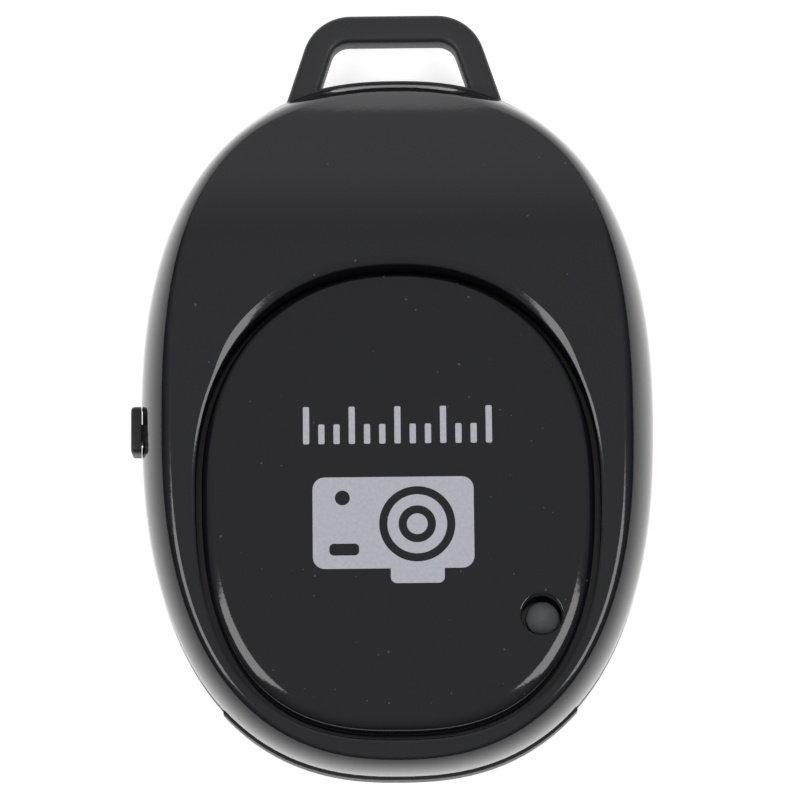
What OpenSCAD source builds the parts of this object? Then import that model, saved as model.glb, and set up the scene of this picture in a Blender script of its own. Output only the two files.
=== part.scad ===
// Camera shutter remote: egg-shaped housing with one hinged key, lanyard loop at +Y, key facing +Z.

/* [Body] */
// Width across the shells
body_w = 35; // [34:0.5:40]
// Length of the shells without the lanyard loop
body_l = 48.6; // [48:0.2:56]
// Height of the highest point of the front shell
body_h = 12; // [11.8:0.1:13.5]
// Squareness of the outline, where 2 is an ellipse
outline_power = 2.42; // [2.3:0.02:2.9]
// Height of the joint between the two shells
split_z = 5; // [4.9:0.1:5.4]
// Wall of both shells
wall = 1.4; // [1.2:0.05:1.6]

/* [Front shell] */
// Place of the highest point along the body
crest_y = 9.5; // [7:0.5:11]
// Fall of the top from its crest to the tail
tail_drop = 2.5; // [1.5:0.1:3]
// Fall of the top from its crest to the loop end
nose_drop = 6.6; // [5:0.1:7]
// Inset of the shoulder at the sides
shoulder_side = 2.4; // [1.8:0.1:2.6]
// Inset of the shoulder at both ends
shoulder_end = 1.2; // [0.9:0.1:1.5]
// Thickness of the roof at the loop end
roof_t = 1.4; // [1.1:0.1:1.6]
// Thickness of the deck under the key
deck_t = 0.8; // [0.6:0.1:1]
// Height of the tongue that joins the shells
tongue_h = 0.65; // [0.5:0.05:0.8]

/* [Back shell] */
// Inset of the flat resting face from the outline
dish_inset = 3.4; // [2.6:0.2:4]
// Thickness of the floor and of the door
floor_t = 1.25; // [1.15:0.05:1.5]

/* [Lanyard loop] */
// Reach of the loop beyond the shells
loop_reach = 5; // [4.2:0.1:7]
// Width of the loop where it leaves the shells
loop_base_w = 14.2; // [12:0.2:16]
// Width of the loop between the corners of its far end
loop_top_w = 10.9; // [9.5:0.1:12]
// Thickness of the loop
loop_t = 2.2; // [1.6:0.1:2.6]
// Width of the bars of the loop
loop_bar = 1.95; // [1.5:0.05:2.2]

/* [Shutter key] */
// Width of the key
key_w = 26.4; // [24:0.2:27]
// Length from the widest place of the key to its loop end
key_up = 14.7; // [14:0.1:15.2]
// Length from the widest place of the key to its tail
key_down = 16.4; // [15.8:0.1:16.8]
// Place of the widest part of the key
key_y = -5.2; // [-5.6:0.1:-4.8]
// Gap between the key and the front shell
key_gap = 0.4; // [0.3:0.05:0.6]
// Depth of the key's face below the crest of the front shell
key_recess = 1.4; // [1.1:0.1:1.8]
// Thickness of the key's cap
key_t = 1.3; // [1.1:0.1:1.4]
// Hole over the light
light_hole_d = 2.73; // [2.4:0.1:3.2]

/* [Battery] */
// Diameter of the coin cell
cell_d = 20; // [16:1:20]
// Thickness of the coin cell
cell_h = 3.2; // [2.5:0.1:3.2]
// Width of the battery door
door_w = 24; // [23.4:0.2:24.6]

/* [Circuit] */
// Thickness of the circuit board
board_t = 0.6; // [0.5:0.1:0.8]
// Height of the space for parts on the board
part_space = 1.5; // [1.45:0.05:1.6]
// Height of the push switch over the board
tact_h = 2.5; // [2.4:0.05:2.6]
// Travel of the push switch
tact_travel = 0.25; // [0.15:0.05:0.3]
// Travel of the power switch
power_travel = 1.2; // [1:0.1:1.5]

/* [Hidden] */

// Faces and steps
ring_points = 64;
loop_corner_points = 7;
wall_steps = 7;
roof_steps = 7;
fillet_steps = 3;
dish_steps = 7;
dish_inner_steps = 4;
tube_faces = 48;

// Clearances
seat_gap = 0.02;
pin_gap = 0.05;
slide_gap = 0.1;
shell_gap = 0.05;
cut_over = 0.5;

// Joint between the shells
lip_inset = 0.72;
lip_nose_share = 0.55;
nose_wall_extra = 1;
nose_lean_share = 0.45;
nose_sharpness = 3;

// Height stack of the inner parts
cell_gap = 0.25;
contact_space = 0.5;
cell_z = floor_t + cell_gap;
cell_top = cell_z + cell_h;
board_z = cell_top + contact_space;
board_top = board_z + board_t;
deck_z = board_top + part_space;
deck_top = deck_z + deck_t;
key_top = body_h - key_recess;
key_under = key_top - key_t;
skirt_t = 1.1;
skirt_gap = 0.12;

// Recess of the front shell
recess_wall = 0.9;
rim_r = 0.35;
pocket_min = 0.1;
pocket_fade = 4;
ceiling_band = 0.7;

// Key edge
edge_w_loop = 0.5;
edge_w_tail = 1.35;
edge_h_loop = 0.35;
edge_h_tail = 0.9;

// Key hinge
ear_x = 3.4;
ear_t = 1.2;
ear_r = 0.95;
hinge_pin_r = 0.6;
hinge_pin_l = 1.2;
hinge_inset = 1.8;
hinge_y = key_y + key_up - hinge_inset;
hinge_lift = 0.3;
hinge_z = board_top + ear_r + hinge_lift;
hinge_rib_t = 1.4;
hinge_rib_half = 1.3;
hinge_rib_drop = 0.25;

// Key hooks at the tail
hook_x = 4;
hook_w = 2.4;
hook_t = 0.9;
hook_barb = 0.6;
hook_inset = 2.4;
hook_foot = 0.5;
window_gap = 0.3;

// Push switch
tact_y = -6;
tact_w = 5.2;
tact_base_h = 1.15;
tact_cover_t = 0.15;
tact_stem_r = 1;
tact_flange_r = 1.6;
tact_flange_t = 0.25;
tact_cavity_r = 1.9;
tact_floor_t = 0.35;
tact_dome_t = 0.08;
tact_dome_h = 0.38;
tact_leg_w = 0.7;
tact_leg_t = 0.15;
tact_leg_l = 0.8;
tact_window_gap = 0.6;
tact_top = board_top + tact_h;
key_tail_ratio = (hinge_y - key_y + key_down) / (hinge_y - tact_y);
skirt_z = deck_top + tact_travel * key_tail_ratio + skirt_gap;
rib_r = 0.8;
rib_w = 3;

// Light
light_side = 3.7;
light_end = 7.76;
light_x = key_w / 2 - light_side;
light_y = key_y - key_down + light_end;
pipe_shift = 0.1;
pipe_r = 1.125;
pipe_flange_r = 1.7;
pipe_flange_t = 0.35;
pipe_depth = 1.9;
led_l = 2;
led_w = 1.25;
led_base_h = 0.3;
led_h = 0.75;
led_lens_share = 0.6;

// Power switch
switch_y = -0.05;
knob_shift = power_travel / 2;
knob_l = 3.05;
knob_h = 2.5;
knob_out = 0.65;
knob_r = 0.35;
knob_neck_w = 1.2;
knob_neck_h = 1.4;
knob_pocket_w = 0.7;
slot_r = 0.25;
bite_y = -0.28;
bite_half = 1.58;
bite_h = 4.2;
bite_low = 0.9;
bite_depth = 0.57;
can_l = 6.6;
can_w = 2.7;
can_h = 1.3;
can_t = 0.2;
can_wall_gap = 0.35;
slider_l = 1.8;
slider_h = 0.7;
stem_h = 0.64;
leg_w = 0.4;
leg_l = 0.7;
leg_t = 0.15;

// Places of the case screws, which the tail of the board clears
screw_turn = -64;
screw_inset = 3;
screw_post_r = 1.55;

// Circuit board
board_inset = 2;
board_tail_gap = 0.45;
board_tail_y = body_at(screw_turn, screw_inset)[1] + screw_post_r + board_tail_gap;
board_nose_y = 17.6;
post_r = 1.2;
peg_r = 0.5;
post_places = [[11.2, 5.6], [-11.2, 5.6], [6.4, -14.4], [-6.4, -14.4]];
trace_t = 0.08;
trace_w = 0.5;
trace_step = 1.2;
trace_h = 3.6;
trace_y = 12.6;
trace_turns = 5;
radio_w = 5;
radio_h = 0.85;
radio_y = 2.6;
memory_x = -6.9;
memory_y = 1.6;
memory_w = 3;
memory_l = 4.4;
memory_h = 1.1;
memory_legs = 4;
memory_pitch = 1.1;
crystal_x = 6.4;
crystal_y = 2.4;
crystal_l = 3.2;
crystal_w = 2.5;
crystal_base_h = 0.4;
crystal_h = 0.8;
crystal_rim = 0.25;
chip_l = 1;
chip_w = 0.5;
chip_h = 0.45;
resistor_h = 0.36;
capacitor_places = [[4.6, 5.6], [3.6, -1], [-3.6, -1], [8, -5], [8, -7], [-8, -5], [0.6, 9]];
resistor_places = [[-4.4, 6], [7.4, -9.6], [-8, -7.4], [-8, -9.4], [10.6, -9.4]];

// Battery door and bay
door_gap = 0.05;
door_y = 2.3;
door_panel_t = 0.55;
ledge_w = 0.95;
rail_h = 0.6;
rail_foot = 0.7;
rail_tail_y = -14;
rail_end_gap = 0.3;
door_groove = 0.3;
door_proud = 0.25;
door_wall_gap = 0.07;
notch_r = 0.5;
grip_count = 4;
grip_pitch = 1.5;
grip_w = 0.6;
grip_l = 9;
grip_depth = 0.25;
grip_y = -18.5;
bay_clear = 0.25;
bay_ring_t = 0.7;
bay_wall_t = 1;
bay_side_tail = -13;
tail_low = 2.4;
bay_top_gap = 0.3;
bay_top = board_z - bay_top_gap;
bay_low = floor_t + rail_h + slide_gap;
cell_end_gap = 0.8;
cell_y = door_y - cell_end_gap - cell_d / 2;
web_t = 1;

// Coin cell
cell_shell_t = 0.3;
cell_edge_r = 0.4;
cell_gasket_t = 0.25;
cell_cap_step = 0.35;
cell_lip = 0.9;

// Contacts
contact_t = 0.2;
positive_w = 4;
positive_pad = 2.6;
positive_drop = 2.4;
negative_w = 2.4;
negative_pad = 3;
negative_reach = 5.2;
negative_y = -8;
negative_tip = 0.8;
negative_thin = 0.04;

// Case screws
screw_x = body_at(screw_turn, screw_inset)[0];
screw_y = body_at(screw_turn, screw_inset)[1];
screw_r = 0.8;
screw_head_r = 1.5;
screw_head_h = 0.9;
screw_seat_t = 1.4;
screw_l = 3.8;
screw_boss_r = 2.1;
screw_slot_w = 0.4;
screw_slot_d = 0.45;

// Snap hooks at the loop end
snap_x = 5.2;
snap_w = 2.6;
snap_t = 1;
snap_y = 18.3;
snap_barb = 0.6;
snap_barb_h = 0.7;
snap_h = 1.75;
snap_bar_t = 0.8;

// Outline of the shells and of the key
function reach(a, half_x, half_y, power) =
    1 / pow(pow(abs(cos(a)) / half_x, power) + pow(abs(sin(a)) / half_y, power), 1 / power);

function body_at(a, inset) =
    reach(a, body_w / 2 - inset, body_l / 2 - inset, outline_power) * [cos(a), sin(a)];

key_up_power = 2.2;
key_down_power = 2.6;

function key_at(a, grow) =
    [0, key_y] + (sin(a) > 0
        ? reach(a, key_w / 2 + grow, key_up + grow, key_up_power)
        : reach(a, key_w / 2 + grow, key_down + grow, key_down_power)) * [cos(a), sin(a)];

angles = [for (i = [0 : ring_points - 1]) 360 * i / ring_points];

function at_height(p, z) = [p[0], p[1], z];
function body_ring(inset, z) = [for (a = angles) at_height(body_at(a, inset), z)];
function key_ring(grow, z) = [for (a = angles) at_height(key_at(a, grow), z)];
function blend(a, b, t) = a + (b - a) * t;
function clamp(t) = min(max(t, 0), 1);

// Share of a direction that points at the loop end, and the key's tail
function nose_weight(a) = pow(max(sin(a), 0), nose_sharpness);
function tail_weight(a) = clamp((1 - sin(a)) / 2);

// Height of the top surface along the body
nose_l = body_l / 2 - crest_y;
nose_r = (pow(nose_l, 2) + pow(nose_drop, 2)) / (2 * nose_drop);
tail_power = 1.3;

function crest_z(y) = y > crest_y
    ? body_h - nose_r + sqrt(max(pow(nose_r, 2) - pow(y - crest_y, 2), 0))
    : body_h - tail_drop * pow((crest_y - y) / (crest_y + body_l / 2), tail_power);

shoulder_power = 1.5;
function shoulder(a) =
    shoulder_end + (shoulder_side - shoulder_end) * pow(abs(cos(a)), shoulder_power);

// Outer wall of the front shell: one curve for each direction, from the joint up to the shoulder
wall_lift_share = 0.6;
wall_lay_share = 0.5;

function bezier(p0, p1, p2, p3, t) =
    pow(1 - t, 3) * p0 + 3 * pow(1 - t, 2) * t * p1 + 3 * (1 - t) * pow(t, 2) * p2 + pow(t, 3) * p3;

function wall_point(a, t) =
    let (
        s = shoulder(a),
        end = body_at(a, s),
        before = body_at(a, s * (1 + wall_lay_share)),
        rise = crest_z(end[1]) - split_z,
        slope = (crest_z(before[1]) - crest_z(end[1])) / (s * wall_lay_share),
        lay = s * wall_lay_share,
        p = bezier(
            [0, 0],
            [nose_lean_share * nose_weight(a) * s, rise * wall_lift_share],
            [s - lay, rise - lay * slope],
            [s, rise],
            t
        )
    )
    at_height(body_at(a, p[0]), split_z + p[1]);

function roof_point(a, t) =
    let (p = blend(body_at(a, shoulder(a)), key_at(a, key_gap + rim_r), t))
    at_height(p, crest_z(p[1]));

function rim_point(a, turn) =
    let (p = key_at(a, key_gap + rim_r * (1 - sin(turn))))
    at_height(p, crest_z(key_at(a, key_gap + rim_r)[1]) - rim_r * (1 - cos(turn)));

// Underside of the roof: a pocket over the loop end, nearly flat elsewhere
function inner_inset(a) = wall + nose_wall_extra * nose_weight(a);
function lip_at(a) = lip_inset + lip_nose_share * nose_wall_extra * nose_weight(a);
function pocket(y) = max(
    pocket_min,
    (crest_z(y) - roof_t - deck_z) * clamp((y - (key_y + key_up - pocket_fade)) / pocket_fade)
);

// Edge of the deck's underside: the recess wall at the loop end, the outer wall elsewhere
function deck_edge(a) = blend(
    body_at(a, inner_inset(a) + ceiling_band), key_at(a, key_gap + recess_wall), clamp(2 * sin(a))
);

function ceiling_point(a, t) =
    let (p = blend(deck_edge(a), body_at(a, inner_inset(a)), t))
    at_height(p, deck_z + pocket(p[1]));

function front_rings() = [
    [for (a = angles) at_height(deck_edge(a), deck_z)],
    for (k = [0 : roof_steps - 2]) [for (a = angles) ceiling_point(a, k / (roof_steps - 2))],
    [for (a = angles) at_height(body_at(a, inner_inset(a)), split_z + tongue_h + slide_gap)],
    [for (a = angles) at_height(body_at(a, lip_at(a)), split_z + tongue_h + slide_gap)],
    [for (a = angles) at_height(body_at(a, lip_at(a)), split_z)],
    for (k = [0 : wall_steps]) [for (a = angles) wall_point(a, k / wall_steps)],
    for (k = [1 : roof_steps]) [for (a = angles) roof_point(a, k / roof_steps)],
    for (k = [1 : fillet_steps]) [for (a = angles) rim_point(a, 90 * k / fillet_steps)],
    key_ring(key_gap, deck_top)
];

function key_edge(a, turn) =
    let (
        w = blend(edge_w_loop, edge_w_tail, tail_weight(a)),
        h = blend(edge_h_loop, edge_h_tail, tail_weight(a))
    )
    at_height(key_at(a, -w * (1 - cos(turn))), key_top - h * (1 - sin(turn)));

function key_rings() = [
    key_ring(-skirt_t, key_under),
    key_ring(-skirt_t, skirt_z),
    key_ring(0, skirt_z),
    for (k = [0 : fillet_steps + 1]) [for (a = angles) key_edge(a, 90 * k / (fillet_steps + 1))]
];

// Dish of the back shell, grown outwards for the door's tail wall
function dish_rings(grow) = [
    for (k = [0 : dish_steps])
        let (t = 90 * k / dish_steps)
        body_ring(dish_inset * (1 - sin(t)) - grow, split_z * (1 - cos(t)))
];

function dish_inner_rings() = [
    for (k = [dish_inner_steps : -1 : 0])
        let (t = 90 * k / dish_inner_steps)
        [for (a = angles) at_height(
            body_at(a, inner_inset(a) + dish_inset * (1 - sin(t))),
            floor_t + (split_z - floor_t) * (1 - cos(t))
        )]
];

// Room inside the door's tail wall, which follows the dish, carried straight up from the joint
function tail_rings(inset, low) = [
    for (k = [0 : dish_inner_steps])
        let (t = 90 * k / dish_inner_steps)
        body_ring(inset + dish_inset * (1 - sin(t)), low + (split_z - low) * (1 - cos(t))),
    body_ring(inset, body_h)
];

function back_rings() = concat(
    dish_rings(0),
    [
        [for (a = angles) at_height(body_at(a, lip_at(a) + shell_gap), split_z)],
        [for (a = angles) at_height(body_at(a, lip_at(a) + shell_gap), split_z + tongue_h)],
        [for (a = angles) at_height(body_at(a, inner_inset(a)), split_z + tongue_h)]
    ],
    dish_inner_rings()
);

// A closed solid through rings of equal count, from its lowest cap to its highest
module loft(rings) {
    n = len(rings[0]);
    last = len(rings) - 1;
    polyhedron(
        points = [for (r = rings) each r],
        faces = concat(
            [[for (i = [0 : n - 1]) i]],
            [for (j = [0 : last - 1], i = [0 : n - 1])
                [j * n + i, (j + 1) * n + i, (j + 1) * n + (i + 1) % n]],
            [for (j = [0 : last - 1], i = [0 : n - 1])
                [j * n + i, (j + 1) * n + (i + 1) % n, j * n + (i + 1) % n]],
            [[for (i = [n - 1 : -1 : 0]) last * n + i]]
        ),
        convexity = 8
    );
}

// A closed solid through rings that come back to the first one
module ring_loft(rings) {
    n = len(rings[0]);
    count = len(rings);
    polyhedron(
        points = [for (r = rings) each r],
        faces = concat(
            [for (j = [0 : count - 1], i = [0 : n - 1])
                [j * n + i, (j + 1) % count * n + i, (j + 1) % count * n + (i + 1) % n]],
            [for (j = [0 : count - 1], i = [0 : n - 1])
                [j * n + i, (j + 1) % count * n + (i + 1) % n, j * n + (i + 1) % n]]
        ),
        convexity = 8
    );
}

module rod(r, h) {
    cylinder(r = r, h = h, $fn = tube_faces);
}

// A block centred in X and Y on its own place
module block(size) {
    translate([-size[0] / 2, -size[1] / 2, 0])
        cube(size);
}

module both_sides() {
    children();
    mirror([1, 0, 0])
        children();
}

module outline(inset) {
    polygon([for (a = angles) body_at(a, inset)]);
}

// Housing

module front_shell() {
    screw_bore_z = split_z + screw_seat_t;
    color("#2b2b2f")
        difference() {
            union() {
                loft(front_rings());
                for (p = post_places)
                    translate([p[0], p[1], board_top])
                        rod(post_r, deck_z + deck_t / 2 - board_top);
                for (p = post_places)
                    translate([p[0], p[1], board_z - peg_r / 2])
                        rod(peg_r, board_t + peg_r);
                for (side = [-1, 1])
                    translate([side * screw_x, screw_y, board_z])
                        rod(screw_post_r, deck_z + deck_t / 2 - board_z);
                for (side = [-1, 1])
                    translate([
                        side * (ear_x + ear_t + pin_gap + hinge_rib_t / 2), hinge_y,
                        board_top + hinge_rib_drop
                    ])
                        block([hinge_rib_t, 2 * hinge_rib_half, deck_z + deck_t / 2 - board_top
                            - hinge_rib_drop]);
                for (side = [-1, 1])
                    translate([side * snap_x, snap_y + snap_t + snap_bar_t / 2 + pin_gap, 0])
                        snap_catch();
            }
            for (side = [-1, 1])
                translate([side * screw_x, screw_y, board_z - cut_over])
                    rod(screw_r + seat_gap, screw_l - screw_seat_t + cut_over + seat_gap);
            translate([0, tact_y, deck_z - cut_over])
                block([tact_w + 2 * tact_window_gap, tact_w + 2 * tact_window_gap,
                    deck_t + 2 * cut_over]);
            translate([light_x + pipe_shift, light_y, deck_z - cut_over])
                rod(pipe_r + seat_gap, deck_t + 2 * cut_over);
            for (side = [-1, 1])
                translate([side * (ear_x + ear_t / 2), hinge_y, deck_z - cut_over])
                    block([ear_t + 2 * pin_gap, 2 * (ear_r + window_gap / 2),
                        deck_t + 2 * cut_over]);
            for (side = [-1, 1])
                translate([side * (ear_x + ear_t), hinge_y, hinge_z])
                    rotate([0, side * 90, 0])
                        rod(hinge_pin_r + pin_gap, hinge_pin_l + 2 * pin_gap);
            for (side = [-1, 1])
                translate([side * hook_x, hook_y() - hook_barb / 2, deck_z - cut_over])
                    block([hook_w + 2 * window_gap, hook_t + hook_barb + 2 * window_gap,
                        deck_t + 2 * cut_over]);
            knob_slot();
            finger_bite();
        }
}

// Cross bar that the back shell's snap hook catches, hung from the roof by two stiles
module snap_catch() {
    catch_z = split_z + snap_h - snap_barb_h - slide_gap - snap_bar_t;
    top = crest_z(snap_y + snap_t + snap_bar_t) - roof_t / 2;
    translate([0, 0, catch_z])
        block([snap_w + 2 * (slide_gap + snap_bar_t), snap_bar_t, snap_bar_t]);
    for (side = [-1, 1])
        translate([side * (snap_w + 2 * slide_gap + snap_bar_t) / 2, 0, catch_z])
            block([snap_bar_t, snap_bar_t, top - catch_z]);
}

// Slot for the neck of the power switch's knob, with rounded upper corners
module knob_slot() {
    half = (knob_neck_w + power_travel) / 2 + slide_gap;
    top = switch_z() + knob_neck_h / 2 + slide_gap;
    translate([-body_w / 2 - cut_over, switch_y, 0]) {
        translate([0, -half, split_z - cut_over])
            cube([wall + board_inset + cut_over, 2 * half, top - slot_r - split_z + cut_over]);
        translate([0, slot_r - half, split_z])
            cube([wall + board_inset + cut_over, 2 * (half - slot_r), top - split_z]);
        for (side = [-1, 1])
            translate([0, side * (half - slot_r), top - slot_r])
                rotate([0, 90, 0])
                    rod(slot_r, wall + board_inset + cut_over);
    }
}

// Shallow arch behind the power switch's knob, where a fingertip goes in
module finger_bite() {
    intersection() {
        translate([-body_w / 2 - cut_over, bite_y, split_z])
            scale([1, bite_half, bite_h])
                rotate([0, 90, 0])
                    rod(1, cut_over + bite_depth);
        translate([-body_w / 2 - cut_over, bite_y - bite_half, split_z + bite_low])
            cube([cut_over + bite_depth, 2 * bite_half, bite_h]);
    }
}

module back_shell() {
    color("#26262a")
        difference() {
            union() {
                loft(back_rings());
                lanyard_loop();
                loop_collar();
                difference() {
                    bay_walls();
                    translate([0, cell_y, floor_t - cut_over])
                        rod(cell_d / 2 + bay_clear, cell_z + cell_h);
                }
                for (side = [-1, 1])
                    translate([side * snap_x, snap_y + snap_t / 2, 0])
                        snap_hook();
            }
            door_space();
            for (side = [-1, 1])
                translate([side * screw_x, screw_y, 0]) {
                    translate([0, 0, floor_t])
                        rod(screw_head_r + slide_gap, board_z - screw_seat_t - floor_t);
                    translate([0, 0, floor_t])
                        rod(screw_r + slide_gap, board_z);
                }
            translate([0, cell_y + cell_d / 2, bay_low])
                block([positive_w + 2 * window_gap, 2 * (bay_clear + bay_ring_t), board_z]);
        }
}

// Ring round the coin cell, its webs, the screw bosses and the walls of the battery bay
module bay_walls() {
    ring_r = cell_d / 2 + bay_clear + bay_ring_t;
    side_x = door_w / 2 + door_gap + bay_wall_t / 2;
    translate([0, cell_y, bay_low])
        rod(ring_r, bay_top - bay_low);
    translate([0, door_y + door_gap + bay_wall_t / 2, floor_t / 2])
        block([2 * side_x + bay_wall_t, bay_wall_t, bay_top - floor_t / 2]);
    for (side = [-1, 1]) {
        translate([side * side_x, (bay_side_tail + door_y) / 2, floor_t / 2])
            block([bay_wall_t, door_y - bay_side_tail + 2 * door_gap, bay_top - floor_t / 2]);
        translate([side * (ring_r + side_x) / 2, cell_y, bay_low])
            block([side_x - ring_r + bay_wall_t, web_t, bay_top - bay_low]);
        translate([side * screw_x, screw_y, bay_low])
            rod(screw_boss_r, board_z - bay_low);
        translate([0, cell_y, bay_low])
            rotate(atan2(screw_y - cell_y, side * screw_x))
                translate([cell_d / 2 + bay_clear, -web_t / 2, 0])
                    cube([norm([screw_x, screw_y - cell_y]) - screw_r - slide_gap
                        - cell_d / 2 - bay_clear, web_t, bay_top - bay_low]);
    }
    translate([0, (cell_y - ring_r - body_l / 2 + wall) / 2, bay_low])
        block([web_t, body_l / 2 + cell_y - ring_r, bay_top - bay_low]);
}

// Room that the door takes: panel, neck between the ledges, rails above them and the tail wall
module door_space() {
    low = -body_l / 2 - loop_t;
    module strip(half, y1, z0, z1) {
        translate([-half, low, z0])
            cube([2 * half, y1 + door_gap - low, z1 - z0]);
    }
    strip(door_w / 2 + door_gap, door_y, -cut_over, door_panel_t + door_gap);
    strip(door_w / 2 - ledge_w, door_y, 0, floor_t + door_gap);
    strip(door_w / 2 - slide_gap + door_gap, door_y, floor_t - door_gap, bay_low - door_gap);
    strip(door_w / 2 + door_gap, rail_tail_y, 0, tail_low);
    difference() {
        strip(door_w / 2 + door_gap, rail_tail_y, 0, split_z - door_gap);
        loft(tail_rings(lip_inset, floor_t + door_gap));
    }
}

// Contour of the loop, inset from its outer legs: four corners tangent to the splayed legs,
// grown outwards or drawn in
function loop_contour(inset, base_y, top_y, base_r, top_r, grow) =
    let (
        top_x = leg_x(top_y - top_r) - (inset + top_r) / cos(loop_splay),
        base_x = leg_x(base_y + base_r) - (inset + base_r) / cos(loop_splay),
        places = [
            [top_x, top_y - top_r, top_r, loop_splay, 90],
            [-top_x, top_y - top_r, top_r, 90, 180 - loop_splay],
            [-base_x, base_y + base_r, base_r, 180 - loop_splay, 270],
            [base_x, base_y + base_r, base_r, 270, 360 + loop_splay]
        ]
    )
    [for (p = places, k = [0 : loop_corner_points - 1])
        let (t = blend(p[3], p[4], k / (loop_corner_points - 1)))
        [p[0] + (p[2] + grow) * cos(t), p[1] + (p[2] + grow) * sin(t)]];

function leg_x(y) = loop_base_w / 2 - (y - body_l / 2) * tan(loop_splay);

loop_edge = 0.45;
loop_top_r = 3.4;
loop_eye_r = 1.3;
loop_low_r = 0.6;
loop_root = 2.6;
loop_eye_root = 1;
loop_collar = 0.2;
loop_steps = 3;
loop_z = split_z - shell_gap - loop_t;
loop_splay = atan((loop_base_w - loop_top_w) / 2 / loop_reach);

function loop_outer(grow) = loop_contour(
    0, body_l / 2 - loop_root, body_l / 2 + loop_reach, loop_low_r, loop_top_r, grow
);
function loop_inner(grow) = loop_contour(
    loop_bar, body_l / 2 - loop_eye_root, body_l / 2 + loop_reach - loop_bar,
    loop_low_r, loop_eye_r, grow
);

// Collar that stands just proud of the front shell at the root of the loop
module loop_collar() {
    intersection() {
        translate([0, 0, loop_z + loop_edge])
            linear_extrude(height = loop_t - loop_edge)
                outline(-loop_collar);
        translate([-loop_base_w / 2, body_l / 2 - loop_root, 0])
            cube([loop_base_w, loop_root + loop_reach, split_z]);
    }
}

module lanyard_loop() {
    function flat(points, z) = [for (p = points) at_height(p, z)];
    function edge_in(t) = -loop_edge * (1 - sin(t));
    function edge_up(t) = loop_edge * (1 - cos(t));
    ring_loft(concat(
        [for (k = [0 : loop_steps])
            let (t = 90 * k / loop_steps)
            flat(loop_outer(edge_in(t)), loop_z + edge_up(t))],
        [for (k = [loop_steps : -1 : 0])
            let (t = 90 * k / loop_steps)
            flat(loop_outer(edge_in(t)), loop_z + loop_t - edge_up(t))],
        [for (k = [0 : loop_steps])
            let (t = 90 * k / loop_steps)
            flat(loop_inner(-edge_in(t)), loop_z + loop_t - edge_up(t))],
        [for (k = [loop_steps : -1 : 0])
            let (t = 90 * k / loop_steps)
            flat(loop_inner(-edge_in(t)), loop_z + edge_up(t))]
    ));
}

// Upright hook with a wedge-shaped barb that faces the loop end
module snap_hook() {
    top = split_z + snap_h;
    translate([0, 0, floor_t / 2])
        block([snap_w, snap_t, top - floor_t / 2]);
    translate([snap_w / 2, 0, 0])
        rotate([90, 0, -90])
            linear_extrude(height = snap_w)
                polygon([
                    [-snap_t / 2, top - snap_barb_h],
                    [-snap_t / 2 - snap_barb, top - snap_barb_h],
                    [-snap_t / 2, top]
                ]);
}

module battery_door() {
    low = -body_l / 2 - loop_t;
    color("#242428")
        difference() {
            union() {
                difference() {
                    intersection() {
                        loft(dish_rings(door_proud));
                        translate([-door_w / 2, low, 0])
                            cube([door_w, door_y - low, split_z - door_groove]);
                    }
                    loft(tail_rings(lip_inset - door_wall_gap, floor_t));
                    translate([-door_w, rail_tail_y, floor_t])
                        cube([2 * door_w, body_l, body_h]);
                    both_sides()
                        translate([door_w / 2 - ledge_w - door_gap, rail_tail_y, door_panel_t])
                            cube([door_w, body_l, body_h]);
                }
                both_sides()
                    translate([door_w / 2 - ledge_w - door_gap, 0, 0])
                        door_rail();
            }
            translate([0, -body_l / 2 - door_proud, split_z - door_groove])
                rotate([90, 0, 0])
                    translate([0, 0, -wall / 4])
                        rod(notch_r, wall);
            for (k = [0 : grip_count - 1])
                translate([0, grip_y + k * grip_pitch, -cut_over])
                    block([grip_l - k * grip_pitch, grip_w, grip_depth + cut_over]);
        }
}

// One rail of the door: a foot on the panel and a lip that reaches over the ledge
module door_rail() {
    lip = ledge_w - 2 * slide_gap;
    translate([0, rail_tail_y + rail_end_gap, floor_t])
        rotate([90, 0, 180])
            linear_extrude(height = door_y - rail_tail_y - 2 * rail_end_gap)
                polygon([
                    [0, -door_gap], [0, door_gap], [-lip, door_gap], [-lip, rail_h],
                    [rail_foot, rail_h], [rail_foot, -door_gap]
                ]);
}

// Key

function hook_y() = key_y - key_down + hook_inset;

module shutter_key() {
    color("#2e2e32")
        difference() {
            union() {
                loft(key_rings());
                for (side = [-1, 1]) {
                    translate([side * (ear_x + ear_t / 2) - ear_t / 2, hinge_y, 0])
                        hinge_ear();
                    translate([side * (ear_x + ear_t / 2), hinge_y, hinge_z])
                        rotate([0, side * 90, 0])
                            rod(hinge_pin_r, hinge_pin_l + ear_t / 2);
                    translate([side * hook_x, hook_y(), 0])
                        key_hook();
                }
                press_rib();
            }
            translate([light_x, light_y, skirt_z])
                rod(light_hole_d / 2, body_h - skirt_z);
        }
}

// Ear that carries the hinge pin, rounded about the pin
module hinge_ear() {
    translate([0, 0, hinge_z])
        rotate([90, 0, 90])
            linear_extrude(height = ear_t) {
                circle(r = ear_r, $fn = tube_faces);
                translate([-ear_r, 0])
                    square([2 * ear_r, key_under - hinge_z + key_t / 2]);
            }
}

// Hook that keeps the tail of the key from rising, with its barb under the deck
module key_hook() {
    foot_top = deck_z - slide_gap;
    translate([0, 0, foot_top - hook_foot])
        block([hook_w, hook_t, key_under + key_t / 2 - foot_top + hook_foot]);
    translate([0, -hook_t / 2 - hook_barb / 2, foot_top - hook_foot])
        block([hook_w, hook_barb, hook_foot]);
}

// Rib over the push switch, with a round lower edge that rolls on the plunger
module press_rib() {
    rib_z = tact_top + seat_gap + rib_r;
    translate([-rib_w / 2, tact_y, rib_z])
        rotate([0, 90, 0])
            rod(rib_r, rib_w);
    translate([0, tact_y, rib_z])
        block([rib_w, 2 * rib_r, max(key_under + key_t / 2 - rib_z, rib_r)]);
}

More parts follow.
